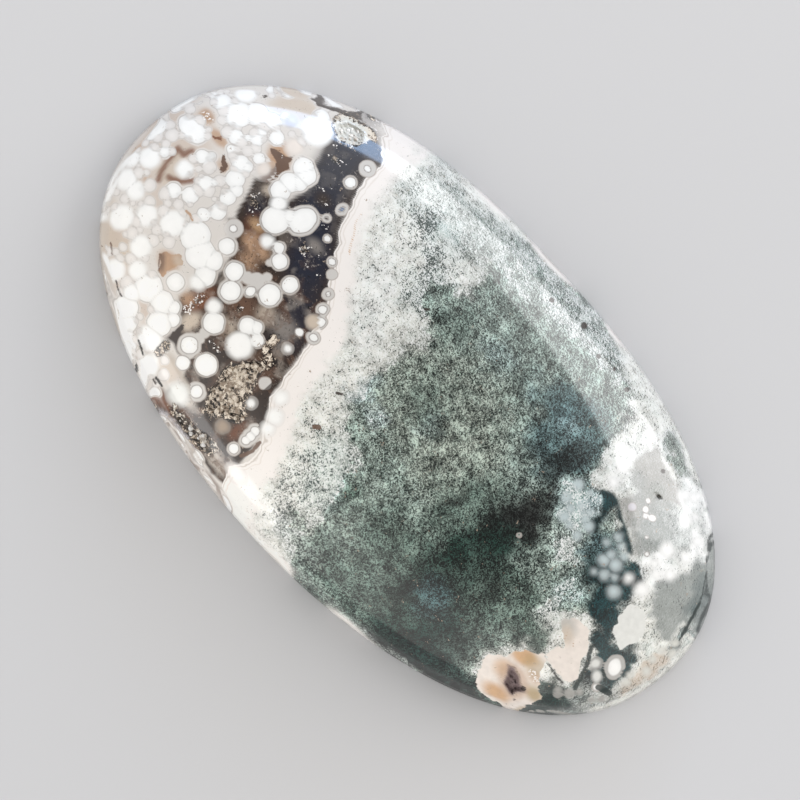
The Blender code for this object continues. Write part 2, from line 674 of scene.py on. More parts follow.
class Board:
    """The node tree of one material."""

    def __init__(self, name: str) -> None:
        """Make an empty material with this name."""
        self.material = bpy.data.materials.new(name)
        self.material.use_nodes = True
        self.tree = self.material.node_tree
        self.tree.nodes.clear()

    def add(
        self,
        kind: str,
        settings: dict[str, object] | None = None,
        sockets: dict[int | str, object] | None = None,
        output: int | str = 0,
    ) -> Wire:
        """Add one node.

        Args:
            kind: The node's type.
            settings: Its settings, set first.
            sockets: Values or wires of its inputs, by number or name.
            output: Which output to return.

        Returns:
            That output.
        """
        given = {
            key: value.socket if isinstance(value, Wire) else value
            for key, value in (sockets or {}).items()
        }
        node = add_node(self.tree, kind, settings, given)
        return Wire(self, node.outputs[output] if node.outputs else None)

    def field(self, name: str) -> Wire:
        """A number that the mesh carries."""
        return self.add("ShaderNodeAttribute", {"attribute_name": name}, output="Fac")

    def colour(self, name: str) -> Wire:
        """A colour that the mesh carries."""
        return self.add("ShaderNodeAttribute", {"attribute_name": name}, output="Color")

    def place(self, scale: float = 1.0, shift: float = 0.0) -> Wire:
        """The place on the stone in millimetres, scaled and shifted."""
        at = self.add("ShaderNodeTexCoord", output="Object")
        size = scale / MM
        return self.add(
            "ShaderNodeMapping",
            sockets={0: at, 1: (shift, shift * 0.7, -shift), 3: (size, size, size)},
        )

    def across(self) -> Wire:
        """The place across the stone in millimetres."""
        return self.add("ShaderNodeSeparateXYZ", sockets={0: self.place()}, output=1)

    def noise(
        self, at: Wire, detail: float = 2.0, rough: float = 0.5, twist: float = 0.0
    ) -> Wire:
        """Cloudy noise from 0 to 1 with lumps about one unit wide."""
        looks = {"Detail": detail, "Roughness": rough, "Distortion": twist}
        sockets = {"Vector": at, "Scale": 1.0, **looks}
        return self.add("ShaderNodeTexNoise", sockets=sockets)

    def cells(self, at: Wire, feature: str, output: str) -> Wire:
        """Voronoi cells about one unit wide."""
        sockets = {"Vector": at, "Scale": 1.0}
        return self.add("ShaderNodeTexVoronoi", {"feature": feature}, sockets, output)

    def step(self, value: Wire, low: object, high: object) -> Wire:
        """Smooth change from 0 at low to 1 at high."""
        return self.add(
            "ShaderNodeMapRange",
            {"interpolation_type": "SMOOTHSTEP"},
            {0: value, 1: low, 2: high, 3: 0.0, 4: 1.0},
        )

    def blend(self, share: object, below: object, above: object) -> Wire:
        """Colour above laid over colour below."""
        settings = {"data_type": "RGBA", "blend_type": "MIX", "clamp_factor": True}
        return self.add("ShaderNodeMix", settings, {0: share, 6: below, 7: above}, 2)

    def product(self, colour: Wire, other: object) -> Wire:
        """A colour filtered by another."""
        settings = {"data_type": "RGBA", "blend_type": "MULTIPLY"}
        return self.add("ShaderNodeMix", settings, {0: 1.0, 6: colour, 7: other}, 2)

    def scaled(self, colour: Wire, size: object) -> Wire:
        """A colour made lighter or darker."""
        return self.add(
            "ShaderNodeVectorMath", {"operation": "SCALE"}, {0: colour, 3: size}
        )

    def limited(self, colour: Wire, top: float) -> Wire:
        """A colour no channel of which is above a limit."""
        sockets = {0: colour, 1: (top, top, top)}
        return self.add("ShaderNodeVectorMath", {"operation": "MINIMUM"}, sockets)

    def shaken(self, at: Wire, size: float, seed: float) -> Wire:
        """A place pushed about by uneven noise.

        Args:
            at: The place.
            size: How far it is pushed.
            seed: Picks one of many noises.

        Returns:
            The new place.
        """
        push = self.add(
            "ShaderNodeTexNoise",
            sockets={"Vector": self.place(3.0, seed), "Scale": 1.0, "Detail": 2.0},
            output="Color",
        )
        sockets = {0: push, 1: (size, size, size), 2: at}
        return self.add("ShaderNodeVectorMath", {"operation": "MULTIPLY_ADD"}, sockets)

    def finish(
        self, colour: Wire, roughness: object, **more: object
    ) -> bpy.types.Material:
        """Shade the surface and hand the material over.

        Args:
            colour: The surface's colour.
            roughness: Its roughness.
            more: Other inputs of the shader by name.

        Returns:
            The finished material.
        """
        sockets = {"Base Color": colour, "Roughness": roughness, **more}
        shader = self.add("ShaderNodeBsdfPrincipled", sockets=sockets)
        self.add("ShaderNodeOutputMaterial", sockets={"Surface": shader})
        return self.material


# -------------------------------------------------------------- finishes


@dataclass(frozen=True)
class PolishedAgate:
    """The polished stone with its orbs, moss and ground back.

    Attributes:
        grain: Moss grains for each millimetre.
        cool: Filter of the cooler moss.
        deep: Filter of the dark grains.
        pale: How much lighter than the ground the light grains are.
        pale_limit: Brightest channel of a light grain.
        gloss: Roughness of the polish.
        lapped: Roughness of the back, which is ground but not polished.
        relief: Height of the bumps in the hollows, in metres.
    """

    grain: float = 6.6
    cool: tuple[float, ...] = (0.92, 0.98, 0.98, 1.0)
    deep: tuple[float, ...] = (0.08, 0.11, 0.11, 1.0)
    pale: float = 2.9
    pale_limit: float = 0.72
    gloss: float = 0.07
    lapped: float = 0.38
    relief: float = 0.00006

    def moss(self, board: Board, ground: Wire) -> Wire:
        """Break the ground colour up into dark and light grains of moss, with painted
        light and shade paired along each grain as if it stood in relief.

        Args:
            board: The material's nodes.
            ground: The colour so far.

        Returns:
            The new colour.
        """
        amount = board.field("moss")
        dark = board.field("moss_dark")
        coarse = board.noise(board.place(0.9, 3.0), 4.0, 0.6)
        lumps = board.noise(board.place(1.9, 61.0), 2.0, 0.5, 0.4)
        worms = board.noise(board.place(self.grain, 7.0), 2.5, 0.6, 1.1)
        # beside is the same noise shifted a little: worms minus beside paints light on
        # one side of each grain and shade on the other
        beside = board.noise(board.place(self.grain, 7.33), 2.5, 0.6, 1.1)
        dust = board.noise(board.place(self.grain * 2.1, 19.0), 2.0, 0.6, 0.6)
        relief = (worms - 0.5) * 1.6 + (worms - beside) * 1.9 + (dust - 0.5) * 1.5
        relief = relief + (coarse - 0.5) * 0.9 + (lumps - 0.5) * 0.7
        cloud = (coarse - 0.5) * 1.7 + (lumps - 0.5) * 0.8
        ground = board.scaled(ground, 1.0 - amount * cloud)
        hue = board.step(board.noise(board.place(1.7, 29.0), 3.0), 0.45, 0.62)
        cool = board.product(ground, self.cool)
        ground = board.blend(hue * amount * 0.6, ground, cool)
        level = 0.66 - dark * 0.62
        shade = board.step(relief, level, level + 0.15)
        deep = board.product(ground, self.deep)
        ground = board.blend(shade * 0.95, ground, deep)
        light = board.step(relief, -0.12, -0.3) * amount
        pale = board.limited(board.scaled(ground, self.pale), self.pale_limit)
        return board.blend(light * 0.9, ground, pale)

    def orbs(self, board: Board, ground: Wire) -> Wire:
        """Lay skins and cores of the orbs over the ground.

        Args:
            board: The material's nodes.
            ground: The colour so far.

        Returns:
            The new colour.
        """
        core = board.field("core")
        skin = board.field("skin")
        blur = board.field("blur")
        crisp = board.step(blur, 0.12, 0.02)
        in_skin = board.step(skin, 0.035, -0.035) * (crisp * 0.8 + 0.2)
        line = board.step(abs(skin + 0.025), 0.055, 0.0) * crisp
        milk = board.field("milk")
        skin_colour = board.blend(line * 0.8, Tint.SKIN.rgba(), Tint.SKIN_LINE.rgba())
        skin_colour = board.blend(milk * 0.8, skin_colour, Tint.MILK_SKIN.rgba())
        ground = board.blend(in_skin, ground, skin_colour)
        shadow = board.step(abs(core - 0.03), 0.05, 0.0)
        drawn = shadow * crisp * (0.85 - milk * 0.35)
        ground = board.blend(drawn, ground, Tint.CORE_LINE.rgba())
        in_core = board.step(core, 0.02 + blur, -0.04 - blur)
        cloud = board.noise(board.place(1.6, 11.0), 3.0)
        seam = board.step(board.field("seam"), 0.16, 0.0) * 0.16
        edge = board.step(core, -0.34, 0.02) * 0.1
        shade = 1.0 + (cloud - 0.5) * 0.1 - seam - edge
        heart = board.scaled(board.colour("core_tint"), shade)
        return board.blend(in_core, ground, heart)

    def matrix(self, board: Board, ground: Wire) -> Wire:
        """Veil the dark matrix with brown and fine crystal dust.

        Args:
            board: The material's nodes.
            ground: The colour so far.

        Returns:
            The new colour.
        """
        amount = board.field("matrix")
        veil = board.noise(board.place(0.8, 37.0), 4.0, 0.6, 0.5)
        low = board.step(board.across(), 2.5, -1.5)
        brown = board.step(veil, 0.48, 0.62) * amount
        ground = board.blend(brown * low * 0.55, ground, Tint.UMBER.rgba())
        haze = board.step(board.noise(board.place(0.9, 53.0), 3.0), 0.52, 0.66) * amount
        ground = board.blend(haze * (low * 0.22 + 0.08), ground, Tint.WARM_GREY.rgba())
        dust = board.noise(board.place(5.5, 43.0), 3.0, 0.65, 0.8)
        specks = board.step(dust + (veil - 0.5) * 0.5, 0.62, 0.72) * amount
        ground = board.blend(specks * 0.45, ground, Tint.WARM_GREY.rgba())
        cracks = board.step(dust, 0.42, 0.32) * amount
        return board.blend(cracks * 0.7, ground, Tint.INK.rgba())

    def band(self, board: Board, ground: Wire) -> Wire:
        """Lay the cream band along the matrix, with its fine lines.

        Args:
            board: The material's nodes.
            ground: The colour so far.

        Returns:
            The new colour.
        """
        waves = board.noise(board.place(2.2, 47.0), 3.0)
        lumps = board.noise(board.place(0.9, 71.0), 2.0)
        edge = board.field("band") + (waves - 0.5) * 0.12 + (lumps - 0.5) * 0.6
        fade = board.field("band_fade")
        cover = board.step(edge, 0.03, -0.03) * fade
        ground = board.blend(cover, ground, Tint.CREAM.rgba())
        first = board.step(abs(edge + 0.12), 0.07, 0.0) * fade
        ground = board.blend(first * 0.7, ground, Tint.WARM_GREY.rgba())
        second = board.step(abs(edge + 0.34), 0.06, 0.0) * fade
        return board.blend(second * 0.3, ground, Tint.BEIGE.rgba())

    def patches(self, board: Board, ground: Wire) -> Wire:
        """Lay the sharp-edged patches over the ground.

        Args:
            board: The material's nodes.
            ground: The colour so far.

        Returns:
            The new colour.
        """
        lumps = board.cells(board.place(3.2, 5.0), "SMOOTH_F1", "Distance")
        ragged = board.noise(board.place(6.0, 2.0), 2.0)
        edge = board.field("patch") + (lumps - 0.42) * 0.22 + (ragged - 0.5) * 0.14
        cover = board.step(edge, 0.03, -0.05)
        mottle = board.noise(board.place(2.6, 13.0), 3.0)
        tint = board.scaled(board.colour("patch_tint"), 0.86 + mottle * 0.28)
        return board.blend(cover, ground, tint)

    def strokes(self, board: Board, ground: Wire) -> Wire:
        """Lay cracks, veins and the painted shade of the lower shoulder over the
        ground.

        Args:
            board: The material's nodes.
            ground: The colour so far.

        Returns:
            The new colour.
        """
        ragged = board.noise(board.place(7.0, 23.0), 2.0)
        edge = board.field("stroke") + (ragged - 0.5) * 0.1
        cover = board.step(edge, 0.045, -0.035)
        return board.blend(cover * 0.92, ground, board.colour("stroke_tint"))

    def sparkle(self, board: Board, ground: Wire) -> Wire:
        """Lay small angular crystals over the ground.

        Args:
            board: The material's nodes.
            ground: The colour so far.

        Returns:
            The new colour.
        """
        amount = board.field("sparkle")
        at = board.place(8.5, 31.0)
        pick = board.cells(at, "F1", "Color")
        level = board.add("ShaderNodeSeparateColor", sockets={0: pick}, output=0)
        gap = board.cells(at, "DISTANCE_TO_EDGE", "Distance")
        bright = board.step(level, 1.0 - amount * 0.62, 1.04 - amount * 0.62)
        bright = bright * board.step(gap, 0.03, 0.1)
        ground = board.blend(amount * 0.35, ground, board.scaled(ground, 0.4))
        return board.blend(bright, ground, Tint.CREAM.rgba())

    def crust(self, board: Board, ground: Wire) -> Wire:
        """Cover the druse with ragged ridges of crystals over dark gaps.

        Args:
            board: The material's nodes.
            ground: The colour so far.

        Returns:
            The new colour.
        """
        amount = board.field("crust")
        grit = board.noise(board.place(4.6, 43.5), 3.0, 0.65, 1.3)
        at = board.shaken(board.place(2.6, 41.0), 1.6, 44.0)
        net = board.cells(at, "F1", "Distance")
        height = (grit - 0.5) * 2.2 + (net - 0.42) * 0.9
        gaps = board.step(amount + height * 0.5, 0.35, 0.75)
        ground = board.blend(gaps * 0.9, ground, Tint.INK.rgba())
        low = board.step(height, 0.62 - amount * 0.72, 0.78 - amount * 0.72)
        ground = board.blend(low, ground, Tint.MUD.rgba())
        high = board.step(height, 0.86 - amount * 0.8, 1.02 - amount * 0.8)
        return board.blend(high, ground, board.colour("crust_tint"))

    def painted_light_tilt(self, board: Board, colour: Wire) -> Wire:
        """Make the stone paler towards its lower rim and darker towards its upper rim:
        painted light and shade that even out the room's stronger light on the upper
        side.
        """
        colour = board.scaled(colour, 1.02 - board.across() * 0.025)
        return board.limited(colour, 0.9)

    def material(self) -> bpy.types.Material:
        """Build the material.

        Returns:
            The material of the whole stone.
        """
        board = Board("polished_agate")
        colour = board.colour("ground")
        colour = self.matrix(board, colour)
        colour = self.moss(board, colour)
        colour = self.band(board, colour)
        colour = self.patches(board, colour)
        colour = self.orbs(board, colour)
        colour = self.strokes(board, colour)
        colour = self.sparkle(board, colour)
        colour = self.crust(board, colour)
        # Painted light and shade: paler towards the lower rim, darker towards the upper
        # rim
        colour = self.painted_light_tilt(board, colour)
        rough_place = board.step(board.field("hollow"), 0.04, -0.04)
        lapped = board.field("lapped")
        wear = board.noise(board.place(0.35, 2.0), 3.0)
        roughness = self.gloss + wear * 0.05 + rough_place * 0.4 + lapped * self.lapped
        grit = board.noise(board.place(9.0, 4.0), 2.0)
        height = grit * (rough_place + lapped * 0.12)
        bump = board.add(
            "ShaderNodeBump",
            sockets={"Height": height, "Distance": self.relief, "Strength": 1.0},
        )
        return board.finish(colour, roughness, IOR=QUARTZ_IOR, Normal=bump)


@dataclass(frozen=True)
class QuartzPoints:
    """Small quartz crystals.

    Attributes:
        name: Name of the material.
        light: Colour of the clean crystals.
        stained: Colour of the stained ones.
    """

    name: str
    light: Tint
    stained: Tint

    def material(self) -> bpy.types.Material:
        """Build the material.

        Returns:
            The material of the crystals.
        """
        board = Board(self.name)
        stain = board.noise(board.place(3.0, 17.0), 2.0)
        share = board.step(stain, 0.42, 0.6)
        colour = board.blend(share, self.light.rgba(), self.stained.rgba())
        return board.finish(colour, 0.16 + share * 0.2, IOR=QUARTZ_IOR)


@dataclass(frozen=True)
class PalePaper:
    """The matt grey sheet that the stone lies on.

    Attributes:
        grey: Its colour.
        shade: How much of that is left where it is cloudy.
    """

    grey: tuple[float, float, float] = (0.552, 0.551, 0.565)
    shade: float = 0.93

    def material(self) -> bpy.types.Material:
        """Build the material.

        Returns:
            The material of the floor.
        """
        board = Board("pale_paper")
        cloud = board.noise(board.place(0.02), 2.0)
        darker = tuple(level * self.shade for level in self.grey)
        colour = board.blend(cloud * 0.3, (*self.grey, 1.0), (*darker, 1.0))
        return board.finish(colour, 0.8)


# -------------------------------------------------------------- markings


@dataclass
class OrbField:
    """The white orbs of the milky third and of the dark matrix.

    Attributes:
        crowd: Orbs of the milky third, one with a lilac core that is a painted
            reflection.
        big: Large orbs with clear skins, in and beside the matrix.
        small: Small orbs of the matrix, its lower end and the grey end.
        rim: Orbs that the side cuts through.
        grown: Clouds of small orbs: tint, count, smallest and largest core, blur,
            width of the skin and seed, with the corners of the patch.
        bare: Where no small orbs grow.
    """

    # The LILAC core at -16.8 6.25 is a painted reflection: the lilac tint of the
    # window's reflection edge over a white orb
    crowd: tuple[Orb, ...] = orbs("""
    WHITE 0: -21.4 3.7 0.22, -20.5 -0.5 0.32, -18.3 3.2 0.43, -17.9 2.5 0.27,
        -17.75 3.65 0.22, -17.3 4.05 0.42, -17.45 4.5 0.27, -16.35 3.35 0.36,
        -16.85 2.35 0.52, -16.5 2.45 0.4, -16.4 1.5 0.56, -15.85 1.1 0.38,
        -15.9 0.45 0.48, -15.65 -0.55 0.5, -16.1 -1.3 0.4, -17.5 -1.1 0.5, -17.4 0 0.5,
        -17.1 0.45 0.25, -18.75 0.95 0.4, -18.35 1.35 0.28, -17.85 0.85 0.18,
        -18.4 -1.65 0.45, -16.6 4.95 0.42 0.55, -19.2 4.2 0.8, -20.5 4 0.55,
        -18.5 5 0.7, -17.6 5.4 0.5, -14.2 4.9 0.6, -13.75 4.7 0.6 0.8,
        -13.7 4.1 0.5 0.66, -14.1 3.7 0.6, -14.1 3 0.6, -13 1.6 0.8, -12.6 2.3 0.4,
        -15.8 7.7 0.5;
    WHITE 0.16: -20.9 -1.4 0.7, -18.9 -0.3 0.55, -20 5.5 0.75, -15.3 7 0.95,
        -13.6 2.4 0.5, -12.4 0.4 0.4, -20.9 -3.3 0.7, -20 -3.3 0.6, -19.4 -5 0.8,
        -17.4 -7.4 0.7, -17.3 -5.3 0.7, -18.4 -3.8 0.7, -17 -3 0.8, -21.7 -2.2 0.6,
        -13 -8.6 0.8, -9 -4.9 0.8, -13.4 -4.2 0.5, -11.7 -4.5 0.45, -11.9 -9.8 0.72 0.9,
        -15.7 -7.6 0.6, -16.4 -6.4 0.6;
    WHITE 0: -19.1 -0.3 0.25, -10.85 -1 0 0.3, -20.4 1.6 1.05 0 0.6,
        -21.9 0 0.8 0 0.48 90;
    PINK_MILK 0.12: -15.7 3.1 0.4 0.75; LILAC 0.15: -16.8 6.25 0.4;
    FROST 0.3: -9.4 -9.6 0.7; PINK_MILK 0.18: -15.5 5.35 0.55;
    WHITE 0: -11.9 2.75 0.85 1.08 0.8 80, -13.7 -9.7 0.75 0 0.6 -35,
        -10.45 -10.55 0.33 0 0.75
    """)
    big: tuple[Orb, ...] = orbs("""
    WHITE 0: -15.2 -6.6 0.85, -15.3 -8.5 0.8, -14.6 -9 0.6, -13.2 -7.6 0.75,
        -14 -6.6 0.7, -13.3 -6.3 0.4, -12.8 -6.8 0.42, -14.5 -3 0.9, -15.5 -2.5 0.9,
        -13.75 -2.75 0.62 0.75, -13.4 -3.65 0.62 0.75, -13.8 -1.55 0.48 0.68,
        -12.4 -2.2 0.52 0.68, -11.7 -3.15 0.58 0.78, -11.1 -1.6 0 0.5, -11.6 -1.9 0 0.4,
        -9.98 -1.6 0.62 0.78, -9.6 -0.35 0.48 0.6, -11.05 0.15 0.45 0.6,
        -11.65 0.65 0.3 0.45, -11.4 -0.35 0 0.25, -14.3 -5.2 0.52 0.72,
        -9.5 -3.8 0.5 0.62, -9.1 -3.5 0.4 0.52, -8.5 -3.95 0.38 0.5,
        -11 -5.15 0.62 0.75, -11.05 -7.1 0.5 0.75, -10.95 -5.9 0 0.36,
        -10.93 -6.4 0 0.35, -10.75 -7.4 0 0.42, -10.55 -8.1 0.42 0.48,
        -9.5 -7.15 0.65 0.75, -8.75 -8.65 0.36 0.62, -14.3 -0.55 0.2 0.6
    """)
    small: tuple[Orb, ...] = orbs("""
    WHITE 0: -8.95 2.4 0.2 0.36, -7.7 0.95 0.13 0.4, -7.25 0.1 0.25 0.45,
        -6.8 -0.5 0.28 0.45, -6.4 -1.4 0.22 0.45, -7.2 -1.8 0.25 0.27,
        -10.15 3.1 0.2 0.3, -11.65 7.65 0.2 0.55, -11.7 6.35 0.32 0.45, -4.8 -9.3 0.3,
        -8.4 1.9 0 0.36, -6.35 -5.3 0 0.4, -4.68 -7.65 0.26 0.5, -4.64 -8.05 0.28 0.52,
        -4.66 -8.42 0.24 0.45;
    WHITE 0.2: -4.3 -7 0.42, -5.1 -5.2 0.45, -4.5 -6.2 0.5;
    WHITE 0.08: -6.95 -2.95 0.24 0.42, -6.05 -6.7 0.24 0.44;
    BEIGE 0.15: -7.1 -0.8 0.45 0.5; MUD 0.25: -6.2 -8.9 0.42 0.5;
    STEEL 0: -10.85 4.9 0.2 0.45 0.7 80; CHAR 0: -11.05 3.9 0.12 0.32;
    WHITE 0: -10.9 -2.3 0.32 0.45 0.75 90; CREAM 0.25: -3.6 -10.2 0.7 0 0.62;
    WHITE 0.06: 19.9 -1.4 0.55 0.8 0.7 125; FROST 0.08: 18.95 -2.1 0.32 0.5 0.8 90;
    FROST 0.1: 19.6 -2.55 0.36 0.48 0.7 -40; WHITE 0.06: 20.1 -3 0.2 0.32;
    CHALCEDONY 0.08: 18.8 -4.9 0.18 0.34, 19.3 -4.4 0.22 0.36;
    WHITE 0.03: 14.2 6.2 0.18 0.2, 14.5 5.95 0.15 0.17, 14.85 6.15 0.2 0.22,
        13.95 6.65 0.15 0.17, 15.45 5.15 0.1 0.12, 16.2 4.5 0.14 0.16,
        16.8 4.55 0.14 0.16;
    LILAC 0.05: 13.55 5.7 0.25 0.27; MOSS 0: 10.25 -0.3 0.1 0.17
    """)
    rim: tuple[Orb, ...] = orbs("""
    WHITE 0.05: -18.3 7.3 0.35, -19 6.8 0.28;
    WHITE 0.04: -15.9 8.8 0.4 0 0.4 30, -14.5 9.5 0.35 0 0.4 28;
    WHITE 0.03: -8.9 -11.4 0.5 0 0.3 -12, -6.9 -11.3 0.5 0 0.3 -8,
        -5.9 -11.2 0.4 0 0.3 -8, -5.5 -11.8 0.55 0 0.25 -8, -3.7 -11.85 0.5 0 0.25 -5;
    WHITE 0.05: -11.6 -11 0.7 0 0.25 -17
    """)
    grown: str = """
    GHOST 900 0.14 0.4 0.05 0.08 3: -22.2 0, -21.5 4.4, -19 7.4, -16 8.6, -15 6, -17 4,
        -16 2, -15.4 -1, -16 -4, -13 -8, -11 -9, -10 -10.4, -14 -10, -18.5 -7,
        -21.4 -3.5;
    WHITE 46 0.22 0.5 0.3 0 5: 14.9 9.6, 15.2 7.6, 16.4 7.3, 17 6.2, 16.3 5.1, 16.4 4,
        16.2 2.6, 17.4 2.4, 17.8 3.4, 18.4 5, 18.8 6.8, 17.5 8.6;
    WHITE 22 0.2 0.4 0.3 0 6: 10.3 7.6, 11.2 10, 12 9.4, 11.4 7.4, 12.4 6.2, 11.4 5.3,
        10.8 6;
    SKY 36 0.12 0.34 0.22 0 7: 10.4 4.6, 11.4 4.9, 12.2 3.6, 13.2 2.6, 12.4 1.4,
        11.4 2.2, 10.4 3.2;
    SKY 40 0.14 0.4 0.3 0 8: 13.1 4.7, 13.9 4.5, 14.4 3.9, 15.6 3.5, 16.8 1.2, 15 1,
        14.2 2.6;
    CHALCEDONY 10 0.12 0.24 0.16 0 9: 18.8 -3.4, 20.4 -3, 21.8 -3.4, 21.2 -4.8,
        19.8 -6.2, 18.6 -5.4;
    LICHEN 26 0.14 0.36 0.2 0 10: 20.7 0.2, 21.3 2.4, 22.1 2.2, 22.3 -1, 21.8 -2.2,
        21 -2.2
    """
    bare: tuple[Round, ...] = rounds("""
    -15.5 -4.8 0.95, -15.5 4.1 1.1, -17.6 1.6 0.7, -19.5 -0.5 1.1 0.6 90,
    -19.2 -1.3 0.8 0.6, -20.4 2.7 0.5, -18.9 2.35 0.5, -17.2 7.2 1.5 0.45 35
    """)

    def clouds(self) -> list[OrbCloud]:
        """Read the clouds of small orbs.

        Returns:
            The clouds, in order.
        """
        made = []
        for (tint, count, low, high, blur, rim, seed), corners in rows(self.grown):
            patch, radii = Patch(path(corners)), (float(low), float(high))
            looks = Tint[tint], float(blur), float(rim)
            made.append(
                OrbCloud(patch, int(count), radii, *looks, int(seed), self.bare)
            )
        return made

    def all(self) -> list[Orb]:
        """Every orb of the stone."""
        grown = [orb for cloud in self.clouds() for orb in cloud.orbs()]
        return [*self.crowd, *self.big, *self.small, *self.rim, *grown]

    def draw(self, canvas: Canvas) -> dict[str, np.ndarray]:
        """Draw the orbs' edges.

        Args:
            canvas: The stone's surface.

        Returns:
            The fields core, skin, seam, blur and core_tint.
        """
        every = self.all()
        cores = [orb for orb in every if orb.core]
        core, owner, seam = canvas.nearest([orb.core_shape() for orb in cores])
        skin, _, _ = canvas.nearest([orb.skin_shape() for orb in every])
        blurs = np.array([orb.blur for orb in cores] + [0.0])
        tints = np.array([orb.tint.albedo() for orb in cores] + [Tint.WHITE.albedo()])
        return {
            "core": core,
            "skin": skin,
            "seam": seam,
            "blur": blurs[owner],
            "core_tint": tints[owner],
        }


